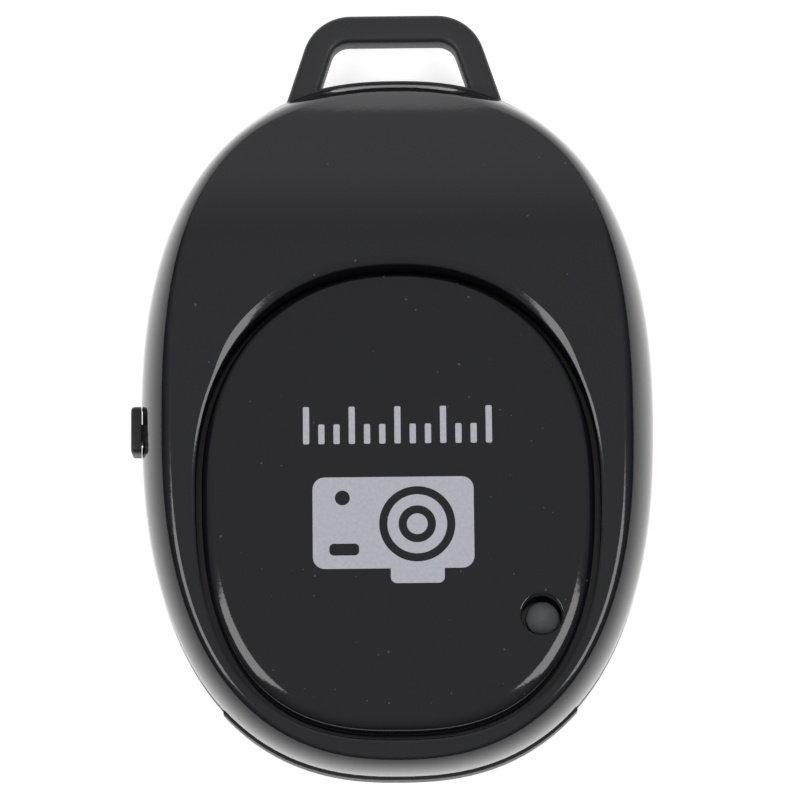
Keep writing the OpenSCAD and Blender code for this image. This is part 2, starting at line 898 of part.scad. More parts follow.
module indicator_light_pipe() {
    top = key_top - pipe_depth;
    low = board_top + led_h + slide_gap;
    color("#c9ccd0")
        translate([light_x + pipe_shift, light_y, 0]) {
            translate([0, 0, low])
                rod(pipe_r, top - low);
            translate([0, 0, deck_z - pipe_flange_t])
                rod(pipe_flange_r, pipe_flange_t);
        }
}

// Power switch

function switch_z() = board_top + can_h / 2;
function can_x() = -body_w / 2 + wall + can_wall_gap;

module power_switch_knob() {
    face = -body_w / 2 - pin_gap;
    inner = can_x() - can_wall_gap / 2;
    color("#333337")
        translate([0, switch_y - knob_shift, switch_z()])
            difference() {
                union() {
                    translate([face - knob_out, 0, 0])
                        rotate([90, 0, 90])
                            linear_extrude(height = knob_out)
                                knob_face();
                    translate([face, -knob_neck_w / 2, -knob_neck_h / 2])
                        cube([inner - face, knob_neck_w, knob_neck_h]);
                }
                translate([face, -knob_pocket_w / 2, -knob_pocket_w / 2])
                    cube([inner - face + cut_over, knob_pocket_w, knob_pocket_w]);
            }
}

// Face of the knob: a block with rounded corners
module knob_face() {
    square([knob_l - 2 * knob_r, knob_h], center = true);
    square([knob_l, knob_h - 2 * knob_r], center = true);
    for (sx = [-1, 1], sy = [-1, 1])
        translate([sx * (knob_l / 2 - knob_r), sy * (knob_h / 2 - knob_r)])
            circle(r = knob_r, $fn = tube_faces);
}

module power_switch_slider() {
    tip = -body_w / 2;
    stem = knob_pocket_w - pin_gap;
    color("#b9bcc0")
        translate([0, switch_y - knob_shift, switch_z()]) {
            translate([can_x() + can_t + pin_gap, -slider_l / 2, -slider_h / 2])
                cube([can_w - 2 * can_t - 2 * pin_gap, slider_l, slider_h]);
            translate([tip, -stem / 2, -stem_h / 2])
                cube([can_x() + can_t + can_w / 2 - tip, stem, stem_h]);
        }
}

// Folded metal can on its plastic base, open to the side wall for the slider's stem
module power_switch_can() {
    slot = slider_l + power_travel;
    color("#c3c6ca")
        translate([can_x(), switch_y, board_top])
            difference() {
                translate([0, -can_l / 2, 0])
                    cube([can_w, can_l, can_h]);
                translate([can_t, -can_l / 2 + can_t, can_t])
                    cube([can_w - 2 * can_t, can_l - 2 * can_t, can_h - 2 * can_t]);
                translate([-cut_over, -slot / 2, (can_h - stem_h) / 2 - pin_gap])
                    cube([can_t + 2 * cut_over, slot, stem_h + 2 * pin_gap]);
            }
}

module power_switch_terminals() {
    color("#d8d8d8")
        for (k = [-1, 0, 1])
            translate([can_x() + can_w, switch_y + k * can_l / 4 - leg_w / 2, board_top])
                cube([leg_l, leg_w, leg_t]);
}

// Circuit

module circuit_board() {
    color("#1f5a3a")
        translate([0, 0, board_z])
            difference() {
                linear_extrude(height = board_t)
                    intersection() {
                        outline(board_inset);
                        translate([-body_w / 2, board_tail_y])
                            square([body_w, board_nose_y - board_tail_y]);
                    }
                for (p = post_places)
                    translate([p[0], p[1], -cut_over])
                        rod(peg_r + pin_gap, board_t + 2 * cut_over);
            }
}

// Meandering printed antenna at the loop end of the board
module antenna_trace() {
    half = trace_turns * trace_step;
    color("#c98b4b")
        translate([0, trace_y, board_top])
            linear_extrude(height = trace_t)
                union() {
                    for (k = [-trace_turns : trace_turns])
                        translate([k * trace_step - trace_w / 2, 0])
                            square([trace_w, trace_h]);
                    for (k = [-trace_turns : trace_turns - 1])
                        translate([
                            k * trace_step - trace_w / 2,
                            (k + trace_turns) % 2 == 0 ? trace_h - trace_w : 0
                        ])
                            square([trace_step + trace_w, trace_w]);
                    translate([-half - trace_w / 2, -trace_step])
                        square([trace_w, trace_step + trace_w]);
                }
}

module radio_chip() {
    color("#1b1b1d")
        translate([0, radio_y, board_top])
            difference() {
                block([radio_w, radio_w, radio_h]);
                translate([-radio_w / 3, radio_w / 3, radio_h - trace_t])
                    rod(chip_w / 2, radio_h);
            }
}

module memory_chip() {
    color("#1b1b1d")
        translate([memory_x, memory_y, board_top]) {
            block([memory_w, memory_l, memory_h]);
            for (side = [-1, 1], k = [0 : memory_legs - 1])
                translate([
                    side * (memory_w + leg_l) / 2, (k - (memory_legs - 1) / 2) * memory_pitch, 0
                ])
                    block([leg_l, leg_w, leg_t]);
        }
}

module crystal() {
    color("#b8bcc2")
        translate([crystal_x, crystal_y, board_top]) {
            block([crystal_l, crystal_w, crystal_base_h]);
            translate([0, 0, crystal_base_h])
                block([crystal_l - 2 * crystal_rim, crystal_w - 2 * crystal_rim,
                    crystal_h - crystal_base_h]);
        }
}

module ceramic_capacitors() {
    color("#b59368")
        for (p = capacitor_places)
            translate([p[0], p[1], board_top])
                block([chip_l, chip_w, chip_h]);
}

module chip_resistors() {
    color("#222226")
        for (p = resistor_places)
            translate([p[0], p[1], board_top])
                block([chip_l, chip_w, resistor_h]);
}

module status_led() {
    color("#e8e6d8")
        translate([light_x + pipe_shift, light_y, board_top]) {
            block([led_l, led_w, led_base_h]);
            translate([0, 0, led_base_h])
                block([led_l * led_lens_share, led_w, led_h - led_base_h]);
        }
}

// Push switch under the key

module tact_switch_base() {
    color("#26262a")
        translate([0, tact_y, board_top])
            difference() {
                block([tact_w, tact_w, tact_base_h]);
                translate([0, 0, tact_floor_t])
                    rod(tact_cavity_r, tact_base_h);
            }
}

module tact_switch_cover() {
    color("#c8cacd")
        translate([0, tact_y, board_top + tact_base_h])
            difference() {
                block([tact_w, tact_w, tact_cover_t]);
                translate([0, 0, -cut_over])
                    rod(tact_stem_r + pin_gap, tact_cover_t + 2 * cut_over);
            }
}

module tact_switch_plunger() {
    under_cover = tact_base_h - pin_gap;
    color("#1d1d20")
        translate([0, tact_y, board_top]) {
            translate([0, 0, under_cover - tact_flange_t])
                rod(tact_flange_r, tact_flange_t);
            translate([0, 0, under_cover - tact_flange_t])
                rod(tact_stem_r, tact_h - under_cover + tact_flange_t);
        }
}

// Thin domed snap disc on the floor of the switch
module tact_switch_dome() {
    base_r = tact_cavity_r - pin_gap;
    sphere_r = (pow(base_r, 2) + pow(tact_dome_h, 2)) / (2 * tact_dome_h);
    color("#cfd2d6")
        translate([0, tact_y, board_top + tact_floor_t])
            intersection() {
                rod(base_r, tact_dome_h + tact_dome_t);
                translate([0, 0, tact_dome_h - sphere_r])
                    difference() {
                        sphere(r = sphere_r, $fn = tube_faces);
                        sphere(r = sphere_r - tact_dome_t, $fn = tube_faces);
                    }
            }
}

module tact_switch_terminals() {
    color("#d8d8d8")
        for (side = [-1, 1], end = [-1, 1])
            translate([
                side * (tact_w + tact_leg_l) / 2, tact_y + end * (tact_w / 2 - tact_leg_w),
                board_top
            ])
                block([tact_leg_l, tact_leg_w, tact_leg_t]);
}

// Battery and its contacts

module coin_cell_can() {
    r = cell_d / 2;
    color("#c6c9cd")
        translate([0, cell_y, cell_z])
            rotate_extrude($fn = tube_faces)
                polygon([
                    [0, 0], [r - cell_edge_r, 0], [r, cell_edge_r], [r, cell_h - cell_edge_r],
                    [r - cell_lip, cell_h - cell_edge_r / 2],
                    [r - cell_lip, cell_h - cell_edge_r / 2 - cell_shell_t],
                    [r - cell_shell_t, cell_h - cell_edge_r - cell_shell_t],
                    [r - cell_shell_t, cell_shell_t], [0, cell_shell_t]
                ]);
}

module coin_cell_gasket() {
    r = cell_d / 2 - cell_shell_t;
    color("#dfe3e6")
        translate([0, cell_y, cell_z])
            rotate_extrude($fn = tube_faces)
                polygon([
                    [r - cell_gasket_t, cell_shell_t], [r, cell_shell_t],
                    [r, cell_h - cell_edge_r - cell_shell_t],
                    [r - cell_gasket_t, cell_h - cell_edge_r - cell_shell_t]
                ]);
}

module coin_cell_cap() {
    r = cell_d / 2 - cell_lip - slide_gap;
    wide = cell_d / 2 - cell_shell_t - cell_gasket_t;
    high = cell_h - 2 * cell_shell_t - cell_edge_r;
    color("#d2d5d9")
        translate([0, cell_y, cell_z + cell_shell_t])
            rotate_extrude($fn = tube_faces)
                polygon([
                    [0, 0], [wide, 0], [wide, high - cell_cap_step], [r, high],
                    [r, cell_h - cell_shell_t - trace_t], [r - trace_t, cell_h - cell_shell_t],
                    [0, cell_h - cell_shell_t]
                ]);
}

// Strip under the board that turns down against the side of the cell
module contact_positive() {
    face = cell_y + cell_d / 2 + seat_gap;
    color("#d9c27a")
        translate([-positive_w / 2, 0, 0])
            rotate([90, 0, 90])
                linear_extrude(height = positive_w)
                    polygon([
                        [face, board_z], [face + positive_pad, board_z],
                        [face + positive_pad, board_z - contact_t],
                        [face + contact_t, board_z - contact_t],
                        [face + contact_t, board_z - contact_t - positive_drop],
                        [face, board_z - contact_t - positive_drop]
                    ]);
}

// Leaf under the board that bears on the middle of the cell
module contact_negative() {
    touch = cell_top + seat_gap;
    color("#d9c27a")
        translate([-negative_w / 2, negative_y, 0])
            rotate([90, 0, 90])
                linear_extrude(height = negative_w)
                    polygon([
                        [-negative_pad, board_z - contact_t], [0, board_z - contact_t],
                        [negative_reach - negative_tip, touch],
                        [negative_reach, touch + contact_t / 4],
                        [negative_reach, touch + contact_t],
                        [negative_reach - negative_tip, touch + contact_t - negative_thin],
                        [contact_t, board_z], [-negative_pad, board_z]
                    ]);
}

module case_screws() {
    color("#8f9297")
        for (side = [-1, 1])
            translate([side * screw_x, screw_y, board_z - screw_seat_t])
                difference() {
                    union() {
                        translate([0, 0, -screw_head_h])
                            rod(screw_head_r, screw_head_h);
                        translate([0, 0, -screw_head_h / 2])
                            rod(screw_r, screw_l + screw_head_h / 2 - seat_gap);
                    }
                    for (turn = [0, 90])
                        rotate(turn)
                            translate([0, 0, -screw_head_h - cut_over])
                                block([2 * screw_r, screw_slot_w, screw_slot_d + cut_over]);
                }
}

front_shell();
back_shell();
battery_door();
shutter_key();
indicator_light_pipe();
power_switch_knob();
power_switch_slider();
power_switch_can();
power_switch_terminals();
circuit_board();
antenna_trace();
radio_chip();
memory_chip();
crystal();
ceramic_capacitors();
chip_resistors();
status_led();
tact_switch_base();
tact_switch_cover();
tact_switch_plunger();
tact_switch_dome();
tact_switch_terminals();
coin_cell_can();
coin_cell_gasket();
coin_cell_cap();
contact_positive();
contact_negative();
case_screws();
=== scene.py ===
# Wireless camera shutter remote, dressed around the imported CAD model.
# Sizes are in millimetres up to the mesh, which is in metres.
import math

import bmesh
import bpy
from mathutils import Matrix, Vector


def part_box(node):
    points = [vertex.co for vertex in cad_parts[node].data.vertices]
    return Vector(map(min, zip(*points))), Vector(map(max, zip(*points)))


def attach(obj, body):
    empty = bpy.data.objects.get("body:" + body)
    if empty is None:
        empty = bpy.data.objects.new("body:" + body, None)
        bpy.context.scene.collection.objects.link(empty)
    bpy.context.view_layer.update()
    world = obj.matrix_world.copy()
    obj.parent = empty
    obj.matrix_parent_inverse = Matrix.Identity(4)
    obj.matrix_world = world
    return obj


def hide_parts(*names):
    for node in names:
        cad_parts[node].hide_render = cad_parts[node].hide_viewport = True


mm = 0.001
hair = 0.01  # in mm, the slack for picking what lies in one plane
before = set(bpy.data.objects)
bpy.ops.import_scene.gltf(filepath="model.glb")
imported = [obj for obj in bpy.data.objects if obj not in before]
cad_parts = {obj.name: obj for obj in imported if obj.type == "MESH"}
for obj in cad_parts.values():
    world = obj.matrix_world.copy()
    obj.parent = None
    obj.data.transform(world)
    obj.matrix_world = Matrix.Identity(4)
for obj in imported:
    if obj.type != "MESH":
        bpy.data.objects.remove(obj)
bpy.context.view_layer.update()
print("frame loaded:", len(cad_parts), "nodes")

# Shared sizes. The power of an outline is 2 for an ellipse and more for a squarer one.
shell = {
    "width": 35, "length": 48.6, "height": 12, "power": 2.42, "split": 5, "wall": 1.4,
    "crestY": 9.5, "tailDrop": 2.5, "noseDrop": 6.6, "tailPower": 1.3,
    "shoulderSide": 2.4, "shoulderEnd": 1.2, "shoulderPower": 1.5,
    "lift": 0.6, "lay": 0.45, "noseLean": 0.45, "noseSharp": 3, "noseExtra": 1,
    "dish": 3.4, "floor": 1.25, "lip": 0.72, "lipNose": 0.55, "tongue": 0.65, "around": 192,
    "tongueGap": 0.05, "tongueRoom": 0.1, "tailLean": 0.08, "tailStep": 0.25,
    "tailStepPower": 0.8, "groove": 0.42, "grooveIn": 0.3, "brow": 1.3, "browPower": 1.2,
}
key = {
    "width": 26.4, "up": 14.7, "down": 16.4, "y": -5.2, "upPower": 2.2, "downPower": 2.6,
    "gap": 0.4, "top": 10.6, "under": 9.3, "skirt": 8.755, "skirtWall": 1.1,
    "edgeLoop": (0.24, 0.22), "edgeTail": (1.8, 0.93), "deckTop": 8.1, "deckLow": 7.3,
    "rim": 0.2, "rimNose": 0.62, "rimFrom": 0.48, "rimSpread": 0.25,
    "holeWidth": 2.73, "light": (9.5, -13.84),
}
angles = [2 * math.pi * i / shell["around"] for i in range(shell["around"])]


# Modelling helpers

def deselect():
    if bpy.context.object and bpy.context.object.mode != "OBJECT":
        bpy.ops.object.mode_set(mode="OBJECT")
    bpy.ops.object.select_all(action="DESELECT")


def pick(piece):
    deselect()
    piece.select_set(True)
    bpy.context.view_layer.objects.active = piece


def skin(name, rings, closed=False):
    # a circle extruded ring after ring, each new vertex set to its place, open ends capped
    count = len(rings[0])
    deselect()
    bpy.ops.mesh.primitive_circle_add(vertices=count)
    piece = bpy.context.object
    piece.name = name
    bpy.ops.object.mode_set(mode="EDIT")
    order = setRing(piece, list(range(count)), rings[0])
    first = order
    for ring in rings[1:] + ([rings[0]] if closed else []):
        bpy.ops.mesh.extrude_edges_move()
        order = setRing(piece, order, ring)
    for end in () if closed else (first, order):
        pickVertices(piece, end)
        bpy.ops.mesh.edge_face_add()
    bpy.ops.mesh.select_all(action="SELECT")
    if closed:
        bpy.ops.mesh.remove_doubles(threshold=1e-7)
    bpy.ops.mesh.normals_make_consistent(inside=False)
    bpy.ops.object.mode_set(mode="OBJECT")
    return piece


def roundRing(mid, radius, z, sides=64):
    turns = [2 * math.pi * i / sides for i in range(sides)]
    return [(mid[0] + radius * math.cos(t), mid[1] + radius * math.sin(t), z) for t in turns]


def setRing(piece, order, ring):
    # sets the selected ring and gives its vertices in the order of the ring before it
    mesh = bmesh.from_edit_mesh(piece.data)
    mesh.verts.index_update()
    fresh = {v.index: v for v in mesh.verts if v.select}
    if len(mesh.verts) > len(order):
        rank = {index: i for i, index in enumerate(order)}
        found = {rank[e.other_vert(v).index]: v for v in fresh.values()
                 for e in v.link_edges if e.other_vert(v).index in rank}
        order = [found[i].index for i in range(len(ring))]
    for index, point in zip(order, ring):
        fresh[index].co = Vector(point) * mm
    bmesh.update_edit_mesh(piece.data)
    return order


def pickVertices(piece, order):
    bpy.ops.mesh.select_mode(type="VERT")
    bpy.ops.mesh.select_all(action="DESELECT")
    mesh = bmesh.from_edit_mesh(piece.data)
    mesh.verts.ensure_lookup_table()
    for index in order:
        mesh.verts[index].select = True
    mesh.select_flush(True)
    bmesh.update_edit_mesh(piece.data)


def block(low, high, rounding=0):
    # a box between two corners, its edges rounded when asked
    deselect()
    mid = [(a + b) / 2 * mm for a, b in zip(low, high)]
    bpy.ops.mesh.primitive_cube_add(size=1, location=mid)
    piece = bpy.context.object
    piece.scale = [(b - a) * mm for a, b in zip(low, high)]
    bpy.ops.object.transform_apply(location=True, rotation=True, scale=True)
    if rounding:
        modify(piece, "BEVEL", width=rounding * mm, segments=3, limit_method="ANGLE")
    return piece


def rod(mid, radius, low, high, axis="Z", sides=64):
    # a round bar from low to high, upright or along X
    deselect()
    turn = {"Z": (0, 0, 0), "X": (0, math.pi / 2, 0)}[axis]
    place = {"Z": (mid[0], mid[1], (low + high) / 2), "X": ((low + high) / 2, *mid)}[axis]
    bpy.ops.mesh.primitive_cylinder_add(
        vertices=sides, radius=radius * mm, depth=(high - low) * mm,
        location=[c * mm for c in place], rotation=turn)
    bpy.ops.object.transform_apply(location=True, rotation=True, scale=True)
    return bpy.context.object


def bevelEdges(piece, wanted, width, segments):
    # rounds the edges whose two ends pass the test
    pick(piece)
    bpy.ops.object.mode_set(mode="EDIT")
    bpy.ops.mesh.select_mode(type="EDGE")
    bpy.ops.mesh.select_all(action="DESELECT")
    mesh = bmesh.from_edit_mesh(piece.data)
    for edge in mesh.edges:
        edge.select = wanted(*[v.co for v in edge.verts])
    bmesh.update_edit_mesh(piece.data)
    bpy.ops.mesh.bevel(offset=width * mm, segments=segments)
    bpy.ops.object.mode_set(mode="OBJECT")
    return piece


def modify(piece, kind, **settings):
    pick(piece)
    step = piece.modifiers.new(kind.lower(), kind)
    for name, value in settings.items():
        setattr(step, name, value)
    bpy.ops.object.modifier_apply(modifier=step.name)


def cut(piece, *tools, how="DIFFERENCE"):
    # the tools are taken away one after the other, or added or intersected
    for tool in tools:
        modify(piece, "BOOLEAN", object=tool, operation=how, solver="EXACT")
        bpy.data.objects.remove(tool)


def joined(name, pieces):
    pick(pieces[0])
    for piece in pieces[1:]:
        piece.select_set(True)
    bpy.ops.object.join()
    bpy.context.object.name = name
    return bpy.context.object


def finish(piece, finishName, body, replaced=(), angle=30):
    # soft shading, its material, and the body that it rides on
    pick(piece)
    bpy.ops.object.mode_set(mode="EDIT")
    bpy.ops.mesh.select_all(action="SELECT")
    bpy.ops.mesh.remove_doubles(threshold=1e-6)
    bpy.ops.object.mode_set(mode="OBJECT")
    bpy.ops.object.shade_smooth_by_angle(angle=math.radians(angle))
    piece.data.materials.clear()
    piece.data.materials.append(finishes[finishName])
    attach(piece, body)
    if replaced:
        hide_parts(*replaced)


# Forms of the two shells and the key, in millimetres

def blend(a, b, t):
    return a + (b - a) * t


def clamp(t):
    return min(max(t, 0), 1)


def reach(a, halfX, halfY, power):
    return 1 / ((abs(math.cos(a)) / halfX) ** power
                + (abs(math.sin(a)) / halfY) ** power) ** (1 / power)


def bodyAt(a, inset=0):
    r = reach(a, shell["width"] / 2 - inset, shell["length"] / 2 - inset, shell["power"])
    return r * math.cos(a), r * math.sin(a)


def keyAt(a, grow=0):
    up = math.sin(a) > 0
    r = reach(a, key["width"] / 2 + grow, (key["up"] if up else key["down"]) + grow,
              key["upPower"] if up else key["downPower"])
    return r * math.cos(a), key["y"] + r * math.sin(a)


def bodyRing(inset, z):
    return [(*bodyAt(a, inset), z) for a in angles]


def keyRing(grow, z):
    return [(*keyAt(a, grow), z) for a in angles]


# along the middle the roof bends down to the loop on a circle and sinks slowly to the tail
noseLength = shell["length"] / 2 - shell["crestY"]
noseRadius = (noseLength ** 2 + shell["noseDrop"] ** 2) / (2 * shell["noseDrop"])


def crestZ(y):
    if y > shell["crestY"]:
        fall = max(noseRadius ** 2 - (y - shell["crestY"]) ** 2, 0)
        return shell["height"] - noseRadius + math.sqrt(fall)
    share = (shell["crestY"] - y) / (shell["crestY"] + shell["length"] / 2)
    return shell["height"] - shell["tailDrop"] * share ** shell["tailPower"]


def noseWeight(a):
    return max(math.sin(a), 0) ** shell["noseSharp"]


def tailWeight(a):
    return clamp((1 - math.sin(a)) / 2)


def tailIn(a):
    # the front shell's edge stands back from the back shell's at the tail
    return shell["tailStep"] * max(-math.sin(a), 0) ** shell["tailStepPower"]


def shoulderAt(a):
    side = abs(math.cos(a)) ** shell["shoulderPower"]
    return blend(shell["shoulderEnd"], shell["shoulderSide"], side)


def wallPoint(a, t):
    # a cubic curve from the joint, where t is 0, up to the edge of the roof
    s = shoulderAt(a)
    rise = crestZ(bodyAt(a, s)[1]) - shell["split"]
    lay = s * shell["lay"]
    slope = (crestZ(bodyAt(a, s + lay)[1]) - crestZ(bodyAt(a, s)[1])) / lay
    lean = shell["noseLean"] * noseWeight(a) + shell["tailLean"] * noseWeight(-a)
    hold = [(0, 0), (lean * s, rise * shell["lift"]),
            (s - lay, rise - lay * slope), (s, rise)]
    weights = ((1 - t) ** 3, 3 * (1 - t) ** 2 * t, 3 * (1 - t) * t ** 2, t ** 3)
    inset, up = (sum(w * p[k] for w, p in zip(weights, hold)) for k in (0, 1))
    return (*bodyAt(a, inset + tailIn(a) * (1 - t) ** 2), shell["split"] + up)


def rimAt(a):
    t = clamp((math.sin(a) - key["rimFrom"]) / key["rimSpread"])
    return blend(key["rim"], key["rimNose"], t * t * (3 - 2 * t))


def roofPoint(a, t):
    outer, inner = bodyAt(a, shoulderAt(a)), keyAt(a, key["gap"] + rimAt(a))
    x, y = blend(outer[0], inner[0], t), blend(outer[1], inner[1], t)
    return x, y, crestZ(y)


def rimPoint(a, across, down):
    x, y = keyAt(a, key["gap"] + rimAt(a) * (1 - across))
    crest = crestZ(keyAt(a, key["gap"] + rimAt(a))[1])
    return x, y, crest - rimAt(a) * down


def innerInset(a):
    return shell["wall"] + shell["noseExtra"] * noseWeight(a)


def lipAt(a):
    return shell["lip"] + shell["lipNose"] * shell["noseExtra"] * noseWeight(a)


def steps(count, first=0):
    return [i / count for i in range(first, count + 1)]


# Finishes

def linear(hexText):
    parts = [int(hexText[i:i + 2], 16) / 255 for i in (1, 3, 5)]
    return (*[p / 12.92 if p <= 0.04045 else ((p + 0.055) / 1.055) ** 2.4 for p in parts], 1)


def addNode(tree, kind, inputs=None, **settings):
    node = tree.nodes.new(kind)
    for name, value in settings.items():
        setattr(node, name, value)
    for name, value in (inputs or {}).items():
        if isinstance(value, bpy.types.NodeSocket):
            tree.links.new(value, node.inputs[name])
        else:
            node.inputs[name].default_value = value
    return node


def newFinish(name, settings):
    # one surface: a base colour that drifts slowly, grain in the roughness and the bump,
    # and dust where the photo shows some; drift and grain are in millimetres
    material = bpy.data.materials.new(name)
    material.use_nodes = True
    tree = material.node_tree
    surface = tree.nodes["Principled BSDF"]
    where = addNode(tree, "ShaderNodeTexCoord").outputs["Object"]
    drift = addNode(tree, "ShaderNodeTexNoise", {
        "Vector": where, "Scale": 1 / (settings["drift"] * mm), "Detail": 2})
    grain = addNode(tree, "ShaderNodeTexNoise", {
        "Vector": where, "Scale": 1 / (settings["grain"] * mm), "Detail": 3})
    tint = addNode(tree, "ShaderNodeMix", {
        "Factor": drift.outputs["Fac"], "A": linear(settings["colour"]),
        "B": linear(settings["second"])}, data_type="RGBA")
    low, high = settings["rough"]  # the noise lies mostly between 0.3 and 0.7
    rough = addNode(tree, "ShaderNodeMapRange", {
        "Value": grain.outputs["Fac"], "From Min": 0.3, "From Max": 0.7,
        "To Min": low, "To Max": high})
    baseOut, roughOut = colourOut(tint), rough.outputs["Result"]
    if settings.get("dust"):
        baseOut, roughOut = dusted(tree, where, baseOut, roughOut, settings["dust"])
    bump = addNode(tree, "ShaderNodeBump", {
        "Height": grain.outputs["Fac"], "Strength": settings["bump"],
        "Distance": settings["grain"] * mm / 4})
    tree.links.new(baseOut, surface.inputs["Base Color"])
    tree.links.new(roughOut, surface.inputs["Roughness"])
    tree.links.new(bump.outputs["Normal"], surface.inputs["Normal"])
    surface.inputs["Metallic"].default_value = settings.get("metal", 0)
    return material


def colourOut(mix):
    return [o for o in mix.outputs if o.type == "RGBA"][0]


def dusted(tree, where, baseOut, roughOut, dust):
    # sparse pale specks: only some of the cells hold one, each of its own size
    cells = addNode(tree, "ShaderNodeTexVoronoi", {
        "Vector": where, "Scale": 1 / (dust["cell"] * mm)})
    chance = addNode(tree, "ShaderNodeSeparateColor", {"Color": cells.outputs["Color"]})
    size = addNode(tree, "ShaderNodeMapRange", {
        "Value": chance.outputs["Red"], "From Min": 1 - dust["share"], "From Max": 1,
        "To Min": 0, "To Max": dust["size"] / dust["cell"]})
    speck = addNode(tree, "ShaderNodeMath", {
        0: cells.outputs["Distance"], 1: size.outputs["Result"]}, operation="LESS_THAN")
    mixed = addNode(tree, "ShaderNodeMix", {
        "Factor": speck.outputs[0], "A": baseOut, "B": linear(dust["colour"])},
        data_type="RGBA")
    dull = addNode(tree, "ShaderNodeMix", {
        "Factor": speck.outputs[0], "A": roughOut, "B": dust["rough"]}, data_type="FLOAT")
    return colourOut(mixed), dull.outputs[0]


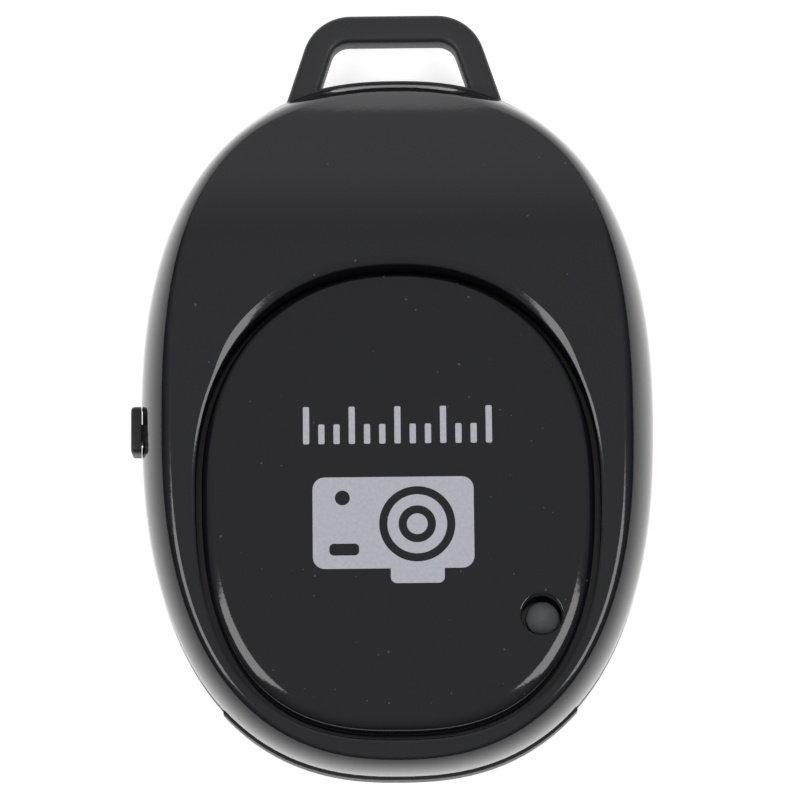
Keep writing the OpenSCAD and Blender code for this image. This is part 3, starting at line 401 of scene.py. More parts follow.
# Colours are sRGB. Rough is the lowest and the highest roughness, ink has no slot.
finishSettings = {
    # injection-moulded ABS from a polished tool: black, near mirror gloss, fine dust on it
    "glossBlackAbs": {"slot": "gloss_black_abs", "colour": "#1a1b21", "second": "#1c1d23",
                      "drift": 9, "grain": 0.35, "rough": (0.07, 0.12), "bump": 0.04,
                      "dust": {"cell": 0.9, "share": 0.35, "size": 0.09, "colour": "#4c4c50",
                               "rough": 0.6}},
    # the key: the same plastic and finish, moulded apart, a shade darker
    "glossBlackKey": {"slot": "gloss_black_key", "colour": "#14151a", "second": "#16171c",
                      "drift": 8, "grain": 0.3, "rough": (0.06, 0.1), "bump": 0.04,
                      "dust": {"cell": 0.7, "share": 0.4, "size": 0.08, "colour": "#48484c",
                               "rough": 0.6}},
    # moulded ABS from a spark-eroded tool: satin black, sheen without reflections
    "satinBlackAbs": {"slot": "satin_black_abs", "colour": "#26272a", "second": "#2b2c2f",
                      "drift": 6, "grain": 0.16, "rough": (0.38, 0.52), "bump": 0.25},
    # the door, moulded like the back shell: the same satin, a shade darker
    "satinBlackDoor": {"slot": "satin_black_door", "colour": "#242528", "second": "#28292c",
                       "drift": 6, "grain": 0.16, "rough": (0.36, 0.5), "bump": 0.25},
    # the knob, moulded too: satin, darker than the shell
    "satinBlackKnob": {"slot": "satin_black_knob", "colour": "#17181a", "second": "#1d1e21",
                       "drift": 2, "grain": 0.14, "rough": (0.34, 0.48), "bump": 0.2},
    # diffusing acrylic light pipe: cloudy dark grey while the light is off
    "frostedPipe": {"slot": "frosted_light_pipe", "colour": "#7d8083", "second": "#686b6f",
                    "drift": 1.2, "grain": 0.12, "rough": (0.4, 0.55), "bump": 0.2},
    # pad-printed epoxy ink: flat greyish white, thin, a little mottled
    "whiteInk": {"slot": None, "colour": "#cccdd5", "second": "#b2b4bd",
                 "drift": 0.22, "grain": 0.1, "rough": (0.45, 0.6), "bump": 0.15},
    # injection-moulded nylon, undyed: milky white, dull
    "naturalNylon": {"slot": "natural_nylon", "colour": "#b4b8bc", "second": "#c3c6c9",
                     "drift": 1, "grain": 0.1, "rough": (0.4, 0.55), "bump": 0.1},
    # stamped steel with a tin plate: grey and softly bright
    "tinnedSteel": {"slot": "tinned_steel", "colour": "#c9cbcf", "second": "#b3b6ba",
                    "drift": 1.5, "grain": 0.12, "rough": (0.25, 0.4), "bump": 0.1, "metal": 1},
    # reflowed solder over the legs: bright, with an uneven skin
    "solderTin": {"slot": "solder_tin", "colour": "#d6d7d8", "second": "#bfc1c3",
                  "drift": 0.6, "grain": 0.1, "rough": (0.2, 0.4), "bump": 0.2, "metal": 1},
    # glass-epoxy board under solder mask: deep green, half glossy
    "solderMask": {"slot": "green_fr4", "colour": "#1b5133", "second": "#22603d",
                   "drift": 3, "grain": 0.25, "rough": (0.25, 0.38), "bump": 0.15},
    # etched copper under the same mask: a lighter green
    "printedCopper": {"slot": "copper_trace", "colour": "#1f6a44", "second": "#2a7a50",
                      "drift": 1, "grain": 0.15, "rough": (0.25, 0.4), "bump": 0.1},
    # transfer-moulded epoxy of chip packages: charcoal, matt
    "mouldedEpoxy": {"slot": "moulded_epoxy", "colour": "#232325", "second": "#2a2a2c",
                     "drift": 1, "grain": 0.08, "rough": (0.5, 0.65), "bump": 0.3},
    # nickel-plated lid of the crystal: pale metal, nearly smooth
    "crystalLid": {"slot": "crystal_lid", "colour": "#c2c4c8", "second": "#adb0b5",
                   "drift": 1, "grain": 0.1, "rough": (0.22, 0.35), "bump": 0.1, "metal": 1},
    # sintered barium titanate: tan, matt
    "bariumCeramic": {"slot": "barium_ceramic", "colour": "#b49570", "second": "#a58660",
                      "drift": 0.4, "grain": 0.08, "rough": (0.5, 0.65), "bump": 0.2},
    # fired glaze over the resistors: black, shiny
    "resistorGlaze": {"slot": "resistor_glaze", "colour": "#1c1c1f", "second": "#252529",
                      "drift": 0.4, "grain": 0.1, "rough": (0.2, 0.35), "bump": 0.1},
    # cast resin with phosphor: cream, glossy
    "ledResin": {"slot": "led_resin", "colour": "#e6e2cc", "second": "#dcd6b8",
                 "drift": 0.5, "grain": 0.1, "rough": (0.15, 0.3), "bump": 0.05},
    # glass-filled nylon of the push switch: black, matt
    "blackNylon": {"slot": "black_nylon", "colour": "#1e1e20", "second": "#262628",
                   "drift": 0.8, "grain": 0.1, "rough": (0.45, 0.6), "bump": 0.2},
    # rolled spring steel of the snap dome: bright
    "springSteel": {"slot": "spring_steel", "colour": "#c7c9cc", "second": "#b6b8bc",
                    "drift": 0.8, "grain": 0.08, "rough": (0.15, 0.3), "bump": 0.05,
                    "metal": 1},
    # nickel-plated steel of the coin cell, drawn: bright, with fine scuffs
    "cellSteel": {"slot": "cell_steel", "colour": "#c4c6ca", "second": "#b5b8bd",
                  "drift": 4, "grain": 0.18, "rough": (0.22, 0.34), "bump": 0.12, "metal": 1},
    # moulded rubber seal of the coin cell: off-white, matt
    "cellGasket": {"slot": "cell_gasket", "colour": "#dde0e2", "second": "#cfd2d5",
                   "drift": 1, "grain": 0.1, "rough": (0.5, 0.6), "bump": 0.1},
    # stamped contacts with a thin gold plate: warm and bright
    "giltContact": {"slot": "gilt_contact", "colour": "#d8bd74", "second": "#c9ab60",
                    "drift": 1.5, "grain": 0.1, "rough": (0.22, 0.35), "bump": 0.1, "metal": 1},
    # zinc-plated self-tapping screws: grey metal, slightly dull
    "screwZinc": {"slot": "screw_steel", "colour": "#a9acb0", "second": "#95989d",
                  "drift": 0.8, "grain": 0.08, "rough": (0.28, 0.42), "bump": 0.15, "metal": 1},
}
finishes = {name: newFinish(name, settings) for name, settings in finishSettings.items()}

nodeFinish = {
    "power_switch_slider": "naturalNylon",
    "power_switch_can": "tinnedSteel", "power_switch_terminals": "solderTin",
    "circuit_board": "solderMask", "antenna_trace": "printedCopper",
    "radio_chip": "mouldedEpoxy", "memory_chip": "mouldedEpoxy", "crystal": "crystalLid",
    "ceramic_capacitors": "bariumCeramic", "chip_resistors": "resistorGlaze",
    "status_led": "ledResin", "tact_switch_base": "blackNylon",
    "tact_switch_cover": "tinnedSteel", "tact_switch_plunger": "blackNylon",
    "tact_switch_dome": "springSteel", "tact_switch_terminals": "solderTin",
    "coin_cell_can": "cellSteel", "coin_cell_gasket": "cellGasket",
    "coin_cell_cap": "cellSteel", "contact_positive": "giltContact",
    "contact_negative": "giltContact", "case_screws": "screwZinc",
}
for nodeName, finishName in nodeFinish.items():
    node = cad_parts[nodeName]
    node.data.materials.clear()
    node.data.materials.append(finishes[finishName])
print("finishes:", len(finishes))


# Front shell: one skin from the deck's underside, out round the joint, up the wall,
# over the roof, round the rim and down the recess

front = {
    "wallSteps": 16, "roofSteps": 12, "partingEdge": 0.1,
    "deckInset": 1, "deckChamfer": (0.7, 0.5), "pipeHole": 1.145, "pipeShift": 0.1,
    "rimForm": [(0.04, 0.005), (0.09, 0.02), (0.14, 0.04), (0.5, 0.19), (0.86, 0.35),
                (0.93, 0.4), (0.98, 0.47), (1, 0.56)],
    "slot": (1.3, 0.8), "slotY": -0.05, "slotZ": 6.45, "slotRound": 0.25,
    "biteY": -0.28, "biteHalf": 1.58, "biteHeight": 4.2, "biteLow": 0.4, "biteDepth": 0.57,
}


def frontRings():
    split, tongue = shell["split"], shell["tongue"] + shell["tongueRoom"]
    edge, (chamferIn, chamferDown) = front["partingEdge"], front["deckChamfer"]
    rings = [
        keyRing(-front["deckInset"], key["deckLow"]),
        [(*bodyAt(a, innerInset(a) + chamferIn), key["deckLow"]) for a in angles],
        [(*bodyAt(a, innerInset(a)), key["deckLow"] - chamferDown) for a in angles],
        [(*bodyAt(a, innerInset(a)), split + tongue) for a in angles],
        [(*bodyAt(a, lipAt(a)), split + tongue) for a in angles],
        [(*bodyAt(a, lipAt(a)), split) for a in angles],
        [(*bodyAt(a, edge + tailIn(a)), split) for a in angles],
    ]
    for t in steps(front["wallSteps"]):
        ring = [wallPoint(a, t) for a in angles]
        if t == 0:
            ring = [(x, y, z + edge) for x, y, z in ring]
        rings.append(ring)
    for t in steps(front["roofSteps"], 1):
        rings.append([roofPoint(a, t) for a in angles])
    for across, down in front["rimForm"]:
        rings.append([rimPoint(a, across, down) for a in angles])
    rings.append(keyRing(key["gap"], key["deckTop"]))
    return rings


frontShell = skin("frontShell", frontRings())
halfSlot, slotUp = front["slot"]
# the slot of the knob's neck and the hole of the light pipe, both cut right through
cut(frontShell,
    block((-shell["width"] / 2 - 1, front["slotY"] - halfSlot, shell["split"] - 1),
          (-shell["width"] / 2 + 2, front["slotY"] + halfSlot, front["slotZ"] + slotUp),
          rounding=front["slotRound"]),
    rod((key["light"][0] + front["pipeShift"], key["light"][1]), front["pipeHole"],
        key["deckLow"] - 1, key["deckTop"] + 0.5))

# the cut-out in the left edge round the switch knob: half an ellipse, a little over the joint
edge = -shell["width"] / 2
bite = rod((0, 0), 1, edge - 1, edge + front["biteDepth"], axis="X", sides=96)
pick(bite)
bpy.ops.transform.resize(value=(1, front["biteHalf"], front["biteHeight"]),
                         center_override=(0, 0, 0))
bpy.ops.transform.translate(value=(0, front["biteY"] * mm, shell["split"] * mm))
bpy.ops.object.transform_apply(location=True, rotation=True, scale=True)
cut(bite, block((edge - 2, -9, 0), (edge + 2, 9, shell["split"] + front["biteLow"])))
cut(frontShell, bite)
finish(frontShell, "glossBlackAbs", "housing", ["front_shell"])
print("front shell:", len(frontShell.data.polygons), "faces")


# Back shell: dish, tongue, lanyard loop and the battery bay

dishSteps = {"outer": 14, "inner": 8}
doorForm = {
    "width": 24, "end": 2.3, "panel": 0.55, "ledge": 0.95, "ledgeTop": 1.9, "gap": 0.05,
    "railTail": -14, "proud": 0.15, "wallGap": 0.07, "tailLow": 2.4, "edgeRound": 0.2,
    "railWidth": 0.7, "railLip": 0.75, "railEnds": (-13.7, 2), "foot": (1.2, 1.5),
    "lip": (1.3, 1.85), "grips": 4, "gripPitch": 1.5, "gripWidth": 0.6, "gripLength": 9,
    "gripDepth": 0.25, "gripRound": 0.12, "gripY": -18.5,
}


def dishRings(grow):
    # the last bit below the parting groove leans in at the tail, as a narrow brow
    rings, top = [], shell["split"] - shell["groove"]
    for t in steps(dishSteps["outer"]):
        turn = t * math.acos(shell["groove"] / shell["split"])
        inset = shell["dish"] * (1 - math.sin(turn)) - grow
        z = shell["split"] * (1 - math.cos(turn))
        brow = clamp((z - top) / shell["brow"] + 1) ** shell["browPower"]
        rings.append([(*bodyAt(a, inset + brow * tailIn(a)), z) for a in angles])
    return rings


def tailRings(inset, low):
    rings = []
    for t in steps(dishSteps["inner"]):
        turn = t * math.pi / 2
        rings.append(bodyRing(inset + shell["dish"] * (1 - math.sin(turn)),
                              low + (shell["split"] - low) * (1 - math.cos(turn))))
    return rings + [bodyRing(inset, shell["height"])]


def backRings():
    split = shell["split"]
    rings = dishRings(0)
    for z in (rings[-1][0][2], split):
        rings.append([(*bodyAt(a, shell["grooveIn"] + tailIn(a)), z) for a in angles])
    for z in (split, split + shell["tongue"]):
        rings.append([(*bodyAt(a, lipAt(a) + shell["tongueGap"]), z) for a in angles])
    rings.append([(*bodyAt(a, innerInset(a)), split + shell["tongue"]) for a in angles])
    for t in reversed(steps(dishSteps["inner"])):
        turn = t * math.pi / 2
        rings.append([(*bodyAt(a, innerInset(a) + shell["dish"] * (1 - math.sin(turn))),
                       shell["floor"] + (split - shell["floor"]) * (1 - math.cos(turn)))
                      for a in angles])
    return rings


loop = {
    "reach": 5, "baseWidth": 14.2, "topWidth": 10.9, "thick": 2.2, "bar": 1.95, "edge": 0.45,
    "topRound": 3.4, "eyeRound": 1.3, "lowRound": 0.6, "root": 2.6, "eyeRoot": 1,
    "collar": 0.2, "below": 0.05, "corner": 14, "edgeSteps": 5,
}
loop["splay"] = math.atan((loop["baseWidth"] - loop["topWidth"]) / 2 / loop["reach"])
loop["low"] = shell["split"] - loop["below"] - loop["thick"]


def legX(y):
    return loop["baseWidth"] / 2 - (y - shell["length"] / 2) * math.tan(loop["splay"])


def loopContour(inset, baseY, topY, baseR, topR, grow):
    # a trapezium with round corners, counted from the upper right one
    lean, quarter = loop["splay"], math.pi / 2
    topX = legX(topY - topR) - (inset + topR) / math.cos(lean)
    baseX = legX(baseY + baseR) - (inset + baseR) / math.cos(lean)
    corners = [
        (topX, topY - topR, topR, lean, quarter),
        (-topX, topY - topR, topR, quarter, 2 * quarter - lean),
        (-baseX, baseY + baseR, baseR, 2 * quarter - lean, 3 * quarter),
        (baseX, baseY + baseR, baseR, 3 * quarter, 4 * quarter + lean),
    ]
    points = []
    for x, y, r, first, last in corners:
        for k in range(loop["corner"]):
            t = blend(first, last, k / (loop["corner"] - 1))
            points.append((x + (r + grow) * math.cos(t), y + (r + grow) * math.sin(t)))
    return points


def loopRings():
    base, top = shell["length"] / 2, shell["length"] / 2 + loop["reach"]
    low, high, edge = loop["low"], loop["low"] + loop["thick"], loop["edge"]
    rings = []
    turns = [t * math.pi / 2 for t in steps(loop["edgeSteps"])]

    def outer(grow):
        return loopContour(0, base - loop["root"], top, loop["lowRound"], loop["topRound"],
                           grow)

    def inner(grow):
        return loopContour(loop["bar"], base - loop["eyeRoot"], top - loop["bar"],
                           loop["lowRound"], loop["eyeRound"], grow)

    for contour, sign in ((outer, 1), (inner, -1)):
        lower = [(contour(-sign * edge * (1 - math.sin(t))), low + edge * (1 - math.cos(t)))
                 for t in turns]
        upper = [(contour(-sign * edge * (1 - math.sin(t))), high - edge * (1 - math.cos(t)))
                 for t in reversed(turns)]
        side = lower + upper
        for points, z in side if sign == 1 else reversed(side):
            rings.append([(x, y, z) for x, y in points])
    return rings


backShell = skin("backShell", backRings())
lanyardLoop = skin("lanyardLoop", loopRings(), closed=True)
halfCollar = loop["baseWidth"] / 2
collar = skin("collar", [bodyRing(-loop["collar"], loop["low"] + loop["edge"]),
                         bodyRing(-loop["collar"], loop["low"] + loop["thick"])])
cut(collar, block((-halfCollar, shell["length"] / 2 - loop["root"], 0),
                  (halfCollar, shell["length"], shell["split"])), how="INTERSECT")

# walls of the battery bay: a ring round the cell, a box round the door, webs between them
# and two posts for the screws
bay = {
    "y": -8.5, "ring": 10.25, "ringWall": 0.7, "low": 1.95, "top": 4.9, "sides": 128,
    "half": 13.05, "wall": 1, "wallLow": 0.6, "front": (2.35, 3.35), "side": (-13, 3),
    "web": (10.5, 12.5), "webY": (-9, -8), "tailWeb": 0.5, "tailWebY": (-23.2, -19),
    "contactGap": ((-2.3, 0.5, 1.95), (2.3, 2.4, 6)),
}
screw = {"x": 8.92, "y": -18.29, "post": 2.1, "postTop": 5.2, "head": 1.6, "headTop": 3.8,
         "hole": 0.9, "holeTop": 8}
screwMids = [(side * screw["x"], screw["y"]) for side in (1, -1)]


def bayBlock(acrossX, alongY, low=bay["low"]):
    return block((min(acrossX), alongY[0], low), (max(acrossX), alongY[1], bay["top"]))


bayWalls = rod((0, bay["y"]), bay["ring"] + bay["ringWall"], bay["low"], bay["top"],
               sides=bay["sides"])
bayWalls.name = "bayWalls"
half, web = bay["half"], bay["web"]
cut(bayWalls,
    bayBlock((-half, half), bay["front"], bay["wallLow"]),
    *[bayBlock((s * (half - bay["wall"]), s * half), bay["side"], bay["wallLow"])
      for s in (-1, 1)],
    *[bayBlock((s * web[0], s * web[1]), bay["webY"]) for s in (-1, 1)],
    bayBlock((-bay["tailWeb"], bay["tailWeb"]), bay["tailWebY"]),
    *[rod(mid, screw["post"], bay["low"], screw["postTop"]) for mid in screwMids],
    how="UNION")
cut(bayWalls, rod((0, bay["y"]), bay["ring"], 0, 6, sides=bay["sides"]))
cut(backShell, lanyardLoop, collar, bayWalls, how="UNION")


def doorStrip(half, end, low, high):
    return block((-half, -shell["length"] / 2 - loop["thick"], low),
                 (half, end + doorForm["gap"], high))


halfDoor, doorGap = doorForm["width"] / 2, doorForm["gap"]
# a hair wider than the other cuts, because walls in one plane spoil the result
tailRoom = doorStrip(halfDoor + doorGap + hair, doorForm["railTail"] + hair, -1,
                     shell["split"] - doorGap)
cut(tailRoom, skin("keep", tailRings(shell["lip"], shell["floor"] + doorGap)))
cut(backShell,
    doorStrip(halfDoor + doorGap, doorForm["end"], -1, doorForm["panel"] + doorGap),
    doorStrip(halfDoor - doorForm["ledge"], doorForm["end"], -1, shell["floor"] + doorGap),
    doorStrip(halfDoor - doorGap, doorForm["end"], shell["floor"] - doorGap,
              doorForm["ledgeTop"]),
    doorStrip(halfDoor + doorGap, doorForm["railTail"], -1, doorForm["tailLow"]),
    tailRoom,
    *[rod(mid, screw["head"], 0, screw["headTop"]) for mid in screwMids],
    *[rod(mid, screw["hole"], 0, screw["holeTop"]) for mid in screwMids],
    block(*bay["contactGap"]))
finish(backShell, "satinBlackAbs", "housing", ["back_shell"])
print("back shell:", len(backShell.data.polygons), "faces")


# Battery door: its panel follows the dish and its tail wall wraps up to the joint

doorTop = shell["split"] - shell["groove"]
batteryDoor = skin("batteryDoor", dishRings(doorForm["proud"]))
cut(batteryDoor, block((-halfDoor, -shell["length"], -1),
                       (halfDoor, doorForm["end"], doorTop + 1),
                       rounding=doorForm["edgeRound"]), how="INTERSECT")
inside = skin("inside", tailRings(shell["lip"] - doorForm["wallGap"], shell["floor"]))
railLine = halfDoor - doorForm["ledge"] - doorGap
# hollowed out: ahead of the tail part only the flat panel is left, thicker between the rails
cut(batteryDoor, inside,
    block((-40, doorForm["railTail"], shell["floor"]), (40, 30, 20)),
    block((-40, doorForm["railTail"], doorForm["panel"]), (-railLine, 30, 20)),
    block((railLine, doorForm["railTail"], doorForm["panel"]), (40, 30, 20)))


def railBlock(side, outside, heights):
    # a strip of one rail, from its inner side to railLine plus so much
    x = sorted((side * (railLine - doorForm["railWidth"]), side * (railLine + outside)))
    y = doorForm["railEnds"]
    return block((x[0], y[0], heights[0]), (x[1], y[1], heights[1]))


for side in (-1, 1):
    cut(batteryDoor, railBlock(side, 0, doorForm["foot"]),
        railBlock(side, doorForm["railLip"], doorForm["lip"]), how="UNION")
halfGrip = doorForm["gripWidth"] / 2
for k in range(doorForm["grips"]):
    half = (doorForm["gripLength"] - k * doorForm["gripPitch"]) / 2
    y = doorForm["gripY"] + k * doorForm["gripPitch"]
    cut(batteryDoor, block((-half, y - halfGrip, -1),
                           (half, y + halfGrip, doorForm["gripDepth"]),
                           rounding=doorForm["gripRound"]))
finish(batteryDoor, "satinBlackDoor", "door", ["battery_door"])
print("battery door:", len(batteryDoor.data.polygons), "faces")


# Shutter key: cap with a soft edge, wide at the tail, and the hole over the light

keyForm = {"edgeSteps": 8, "holeEdge": 0.12, "holeSteps": 4, "ears": (3.4, 4.6),
           "hingeY": 7.7, "hingeZ": 7.05, "hingeRound": 0.95}


def keyEdge(a, turn):
    w = blend(key["edgeLoop"][0], key["edgeTail"][0], tailWeight(a))
    h = blend(key["edgeLoop"][1], key["edgeTail"][1], tailWeight(a))
    return (*keyAt(a, -w * (1 - math.cos(turn))), key["top"] - h * (1 - math.sin(turn)))


keyRings = [keyRing(-key["skirtWall"], key["under"]), keyRing(-key["skirtWall"], key["skirt"]),
            keyRing(0, key["skirt"])]
for t in steps(keyForm["edgeSteps"]):
    keyRings.append([keyEdge(a, t * math.pi / 2) for a in angles])
shutterKey = skin("shutterKey", keyRings)
radius, soft = key["holeWidth"] / 2, keyForm["holeEdge"]
holeRings = [roundRing(key["light"], radius, key["skirt"] - 1)]
for t in steps(keyForm["holeSteps"]):
    turn = t * math.pi / 2
    holeRings.append(roundRing(key["light"], radius + soft * (1 - math.cos(turn)),
                               key["top"] - soft * (1 - math.sin(turn)) - soft / 2))
holeRings.append(roundRing(key["light"], radius + 2 * soft, key["top"] + 0.5))
cut(shutterKey, skin("keyHole", holeRings))
hingeY, hingeZ, hingeRound = keyForm["hingeY"], keyForm["hingeZ"], keyForm["hingeRound"]
for side in (-1, 1):
    ear = sorted(side * x for x in keyForm["ears"])
    cut(shutterKey,
        block((ear[0], hingeY - hingeRound, hingeZ), (ear[1], hingeY + hingeRound, 10)),
        rod((hingeY, hingeZ), hingeRound, *ear, axis="X"), how="UNION")
finish(shutterKey, "glossBlackKey", "key", ["shutter_key"])
print("shutter key:", len(shutterKey.data.polygons), "faces")


# Printed marks on the key: a scale of ticks, and a plain sign of a camera that stands
# upright for someone who looks from the loop's end

ink = {"lift": 0.012, "thick": 0.03, "scaleY": -0.9, "scaleWidth": 12.7, "tall": 2.55,
       "short": 1.35, "ticks": 13, "tallEach": 3, "tickWidth": 0.42, "tickRound": 0.1}
sign = {"mid": (-0.34, -8.05), "body": ((-5.4, -2.6), (5.4, 3.6)), "bodyRound": 0.8,
        "hump": ((-0.2, -3.6), (3.4, -1)), "humpRound": 0.4,
        "lens": (1.6, 0.4), "lensRings": (2.55, 2.0, 1.25, 0.7),
        "window": ((-4.3, -1.7), (-2.3, -0.9)), "windowRound": 0.3,
        "lamp": (-3.4, 2.2), "lampRadius": 0.5}


def inkPlate(low, high, rounding):
    z = key["top"] + ink["lift"]
    plate = block((low[0], low[1], z - ink["thick"]), (high[0], high[1], z))
    return bevelEdges(plate, lambda a, b: abs(a.z - b.z) > ink["thick"] * mm / 2, rounding, 6)


def inkDisc(mid, radius):
    z = key["top"] + ink["lift"]
    return rod(mid, radius, z - ink["thick"], z, sides=96)


ticks = []
for k in range(ink["ticks"]):
    x = (k / (ink["ticks"] - 1) - 0.5) * (ink["scaleWidth"] - ink["tickWidth"])
    tall = ink["tall"] if k % ink["tallEach"] == 0 else ink["short"]
    low = ink["scaleY"] - ink["tall"] / 2
    ticks.append(inkPlate((x - ink["tickWidth"] / 2, low),
                          (x + ink["tickWidth"] / 2, low + tall), ink["tickRound"]))
finish(joined("scaleMarks", ticks), "whiteInk", "key")


def onSign(point):
    return sign["mid"][0] + point[0], sign["mid"][1] + point[1]


def signPlate(name):
    # one of the sign's plates by its name in the dictionary
    low, high = sign[name]
    return inkPlate(onSign(low), onSign(high), sign[name + "Round"])


cameraSign = signPlate("body")
cameraSign.name = "cameraSign"
cut(cameraSign, signPlate("hump"), how="UNION")
for radius, how in zip(sign["lensRings"], ("DIFFERENCE", "UNION") * 2):
    cut(cameraSign, inkDisc(onSign(sign["lens"]), radius), how=how)
cut(cameraSign, signPlate("window"), inkDisc(onSign(sign["lamp"]), sign["lampRadius"]))
finish(cameraSign, "whiteInk", "key")
print("printed marks done")


# Knob of the slide switch: a smooth head, rounded outside, on a neck through the slot

knobLow, knobHigh = (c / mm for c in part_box("power_switch_knob"))
knobForm = {"face": 0.1, "out": 0.695, "stretch": (0.07, 0.27), "lean": 0.1,
            "cornerRound": 0.45, "faceRound": 0.22, "neckHalf": (0.6, 0.7), "neckIn": 0.1}
short, long = knobForm["stretch"]
switchKnob = block((knobLow.x + knobForm["face"], knobLow.y + short, knobLow.z),
                   (knobLow.x + knobForm["out"], knobHigh.y + long, knobHigh.z))
pick(switchKnob)  # its inner face leans in with the side of the shell
bpy.ops.object.mode_set(mode="EDIT")
bpy.ops.mesh.select_mode(type="VERT")
bpy.ops.mesh.select_all(action="DESELECT")
mesh = bmesh.from_edit_mesh(switchKnob.data)
for v in mesh.verts:
    v.select = (v.co.x > (knobLow.x + knobForm["out"] / 2) * mm
                and v.co.z > (knobHigh.z - hair) * mm)
mesh.select_flush(True)
bmesh.update_edit_mesh(switchKnob.data)
bpy.ops.transform.translate(value=(knobForm["lean"] * mm, 0, 0))
bpy.ops.object.mode_set(mode="OBJECT")
bevelEdges(switchKnob, lambda a, b: abs(a.x - b.x) > knobForm["out"] / 2 * mm,
           knobForm["cornerRound"], 8)
bevelEdges(switchKnob,
           lambda a, b: max(a.x, b.x) < (knobLow.x + knobForm["face"] + hair) * mm,
           knobForm["faceRound"], 5)
midY, midZ = (knobLow.y + knobHigh.y) / 2, (knobLow.z + knobHigh.z) / 2
neckY, neckZ = knobForm["neckHalf"]
cut(switchKnob, block((knobLow.x + knobForm["out"] - knobForm["neckIn"],
                       midY - neckY, midZ - neckZ),
                      (knobHigh.x, midY + neckY, midZ + neckZ)), how="UNION")
switchKnob.name = "switchKnob"
finish(switchKnob, "satinBlackKnob", "power_switch", ["power_switch_knob"])
print("switch knob done")


# Light pipe: flange under the deck, shaft up through it, and a slightly domed frosted end

pipeLow, pipeHigh = (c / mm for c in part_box("indicator_light_pipe"))
pipeForm = {"radius": 1.125, "flange": 1.7, "flangeHeight": 0.35, "dome": 0.18,
            "domeSteps": 6}
pipeMid = ((pipeLow.x + pipeHigh.x) / 2, (pipeLow.y + pipeHigh.y) / 2)
pipeRings = [roundRing(pipeMid, pipeForm["flange"], pipeLow.z),
             roundRing(pipeMid, pipeForm["flange"], pipeLow.z + pipeForm["flangeHeight"]),
             roundRing(pipeMid, pipeForm["radius"], pipeLow.z + pipeForm["flangeHeight"])]
for t in steps(pipeForm["domeSteps"])[:-1]:
    turn = t * math.pi / 2
    pipeRings.append(roundRing(pipeMid, pipeForm["radius"] * math.cos(turn),
                               pipeHigh.z - pipeForm["dome"] * (1 - math.sin(turn))))
lightPipe = skin("lightPipe", pipeRings)
finish(lightPipe, "frostedPipe", "housing", ["indicator_light_pipe"], angle=40)
print("light pipe done")


# Floor, light and camera

# The floor is in metres. Light comes from a dome that is dim at the horizon, a brighter
# part of it beyond the loop, and two soft boxes high at the sides.
studio = {
    "floor": 3, "floorDrop": 0.02, "paper": "#f2f2f2", "paperRough": 0.9, "floorLift": 0.62,
    "top": 0.48, "low": 0.03, "lowFrom": 0.1, "lowUpTo": 0.92,
    "back": 0.55, "backFrom": 0.45, "backUpTo": 0.97,
    "boxes": [(-0.58, 4.5), (0.58, 4.5)], "boxFront": -0.22, "boxUp": 0.79,
    "boxDistance": 0.6, "boxWidth": 0.24, "boxHeight": 0.28,
}
deselect()
bpy.ops.mesh.primitive_plane_add(size=studio["floor"],
                                 location=(0, 0, -studio["floorDrop"] * mm))
floor = bpy.context.object
floor.name = "studioFloor"
bpy.ops.object.transform_apply(location=True, rotation=True, scale=True)
paper = bpy.data.materials.new("whitePaper")
paper.use_nodes = True
tree = paper.node_tree
surface = tree.nodes["Principled BSDF"]
surface.inputs["Base Color"].default_value = linear(studio["paper"])
surface.inputs["Roughness"].default_value = studio["paperRough"]
surface.inputs["Emission Color"].default_value = (1, 1, 1, 1)
# the paper is white to the eye and in reflections, without more light on the object
rays = addNode(tree, "ShaderNodeLightPath")
seen = addNode(tree, "ShaderNodeMath", {
    0: rays.outputs["Is Camera Ray"], 1: rays.outputs["Is Glossy Ray"]}, operation="MAXIMUM")
seen = addNode(tree, "ShaderNodeMath", {
    0: seen.outputs[0], 1: rays.outputs["Is Transmission Ray"]}, operation="MAXIMUM")
lift = addNode(tree, "ShaderNodeMath", {
    0: seen.outputs[0], 1: studio["floorLift"]}, operation="MULTIPLY")
tree.links.new(lift.outputs[0], surface.inputs["Emission Strength"])
floor.data.materials.append(paper)

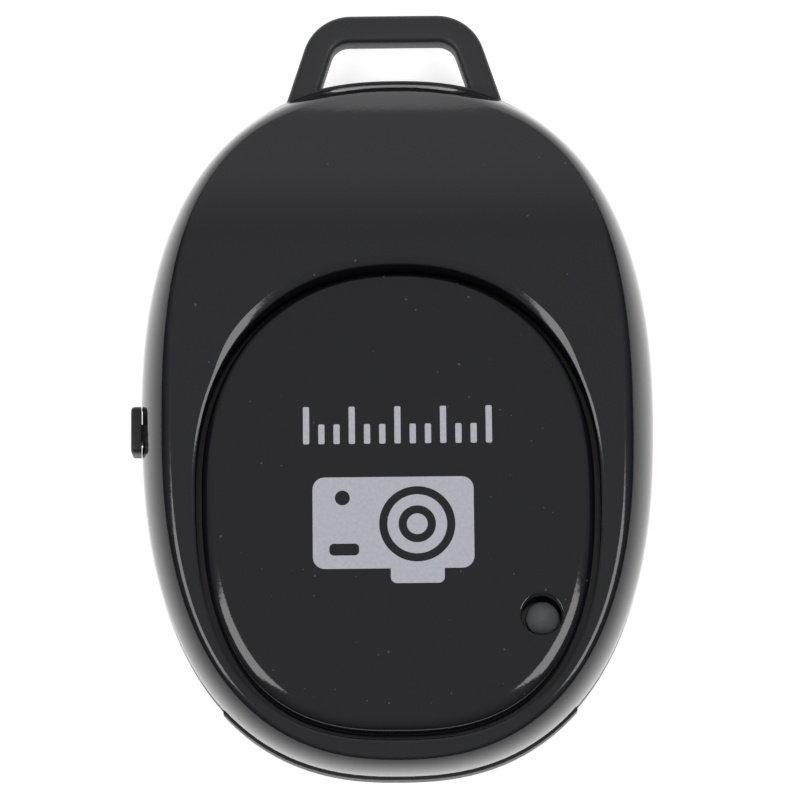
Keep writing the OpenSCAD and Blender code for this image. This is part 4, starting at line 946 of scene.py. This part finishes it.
world = bpy.data.worlds.new("studioWorld")
bpy.context.scene.world = world
world.use_nodes = True
tree = world.node_tree
background = tree.nodes["Background"]
background.inputs["Color"].default_value = (1, 1, 1, 1)
toward = addNode(tree, "ShaderNodeTexCoord").outputs["Generated"]
axes = addNode(tree, "ShaderNodeSeparateXYZ", {"Vector": toward})
dome = addNode(tree, "ShaderNodeMapRange", {
    "Value": axes.outputs["Z"], "From Min": studio["lowFrom"], "From Max": studio["lowUpTo"],
    "To Min": studio["low"], "To Max": studio["top"]})
back = addNode(tree, "ShaderNodeMapRange", {
    "Value": axes.outputs["Y"], "From Min": studio["backFrom"], "From Max": studio["backUpTo"],
    "To Min": 0, "To Max": studio["back"]}, interpolation_type="SMOOTHSTEP")
both = addNode(tree, "ShaderNodeMath", {
    0: dome.outputs[0], 1: back.outputs[0]}, operation="ADD")
tree.links.new(both.outputs[0], background.inputs["Strength"])

for side, glow in studio["boxes"]:
    lamp = bpy.data.lights.new("softbox", "AREA")
    lamp.shape = "RECTANGLE"
    lamp.size, lamp.size_y = studio["boxWidth"], studio["boxHeight"]
    lamp.energy = glow * math.pi * lamp.size * lamp.size_y
    softbox = bpy.data.objects.new("softbox", lamp)
    bpy.context.scene.collection.objects.link(softbox)
    place = Vector((side, studio["boxFront"], studio["boxUp"])).normalized()
    softbox.location = place * studio["boxDistance"]
    softbox.rotation_euler = (-place).to_track_quat("-Z", "Y").to_euler()

view = {"tilt": 11, "distance": 300.36, "roll": -0.6, "lens": 197.1, "aim": (0.19, 1.885, 5)}
camera = bpy.data.objects.new("camera", bpy.data.cameras.new("camera"))
bpy.context.scene.collection.objects.link(camera)
camera.data.sensor_width = 36
camera.data.lens = view["lens"]
camera.data.clip_start, camera.data.clip_end = 0.01, 20
tilt = math.radians(view["tilt"])
away = Vector((0, -math.sin(tilt), math.cos(tilt))) * view["distance"]
place = Matrix.Translation((Vector(view["aim"]) + away) * mm)
turn = Matrix.Rotation(tilt, 4, "X") @ Matrix.Rotation(math.radians(view["roll"]), 4, "Z")
camera.matrix_world = place @ turn
bpy.context.scene.camera = camera
bpy.context.scene.view_settings.view_transform = "Standard"
print("studio done")

bpy.context.view_layer.update()
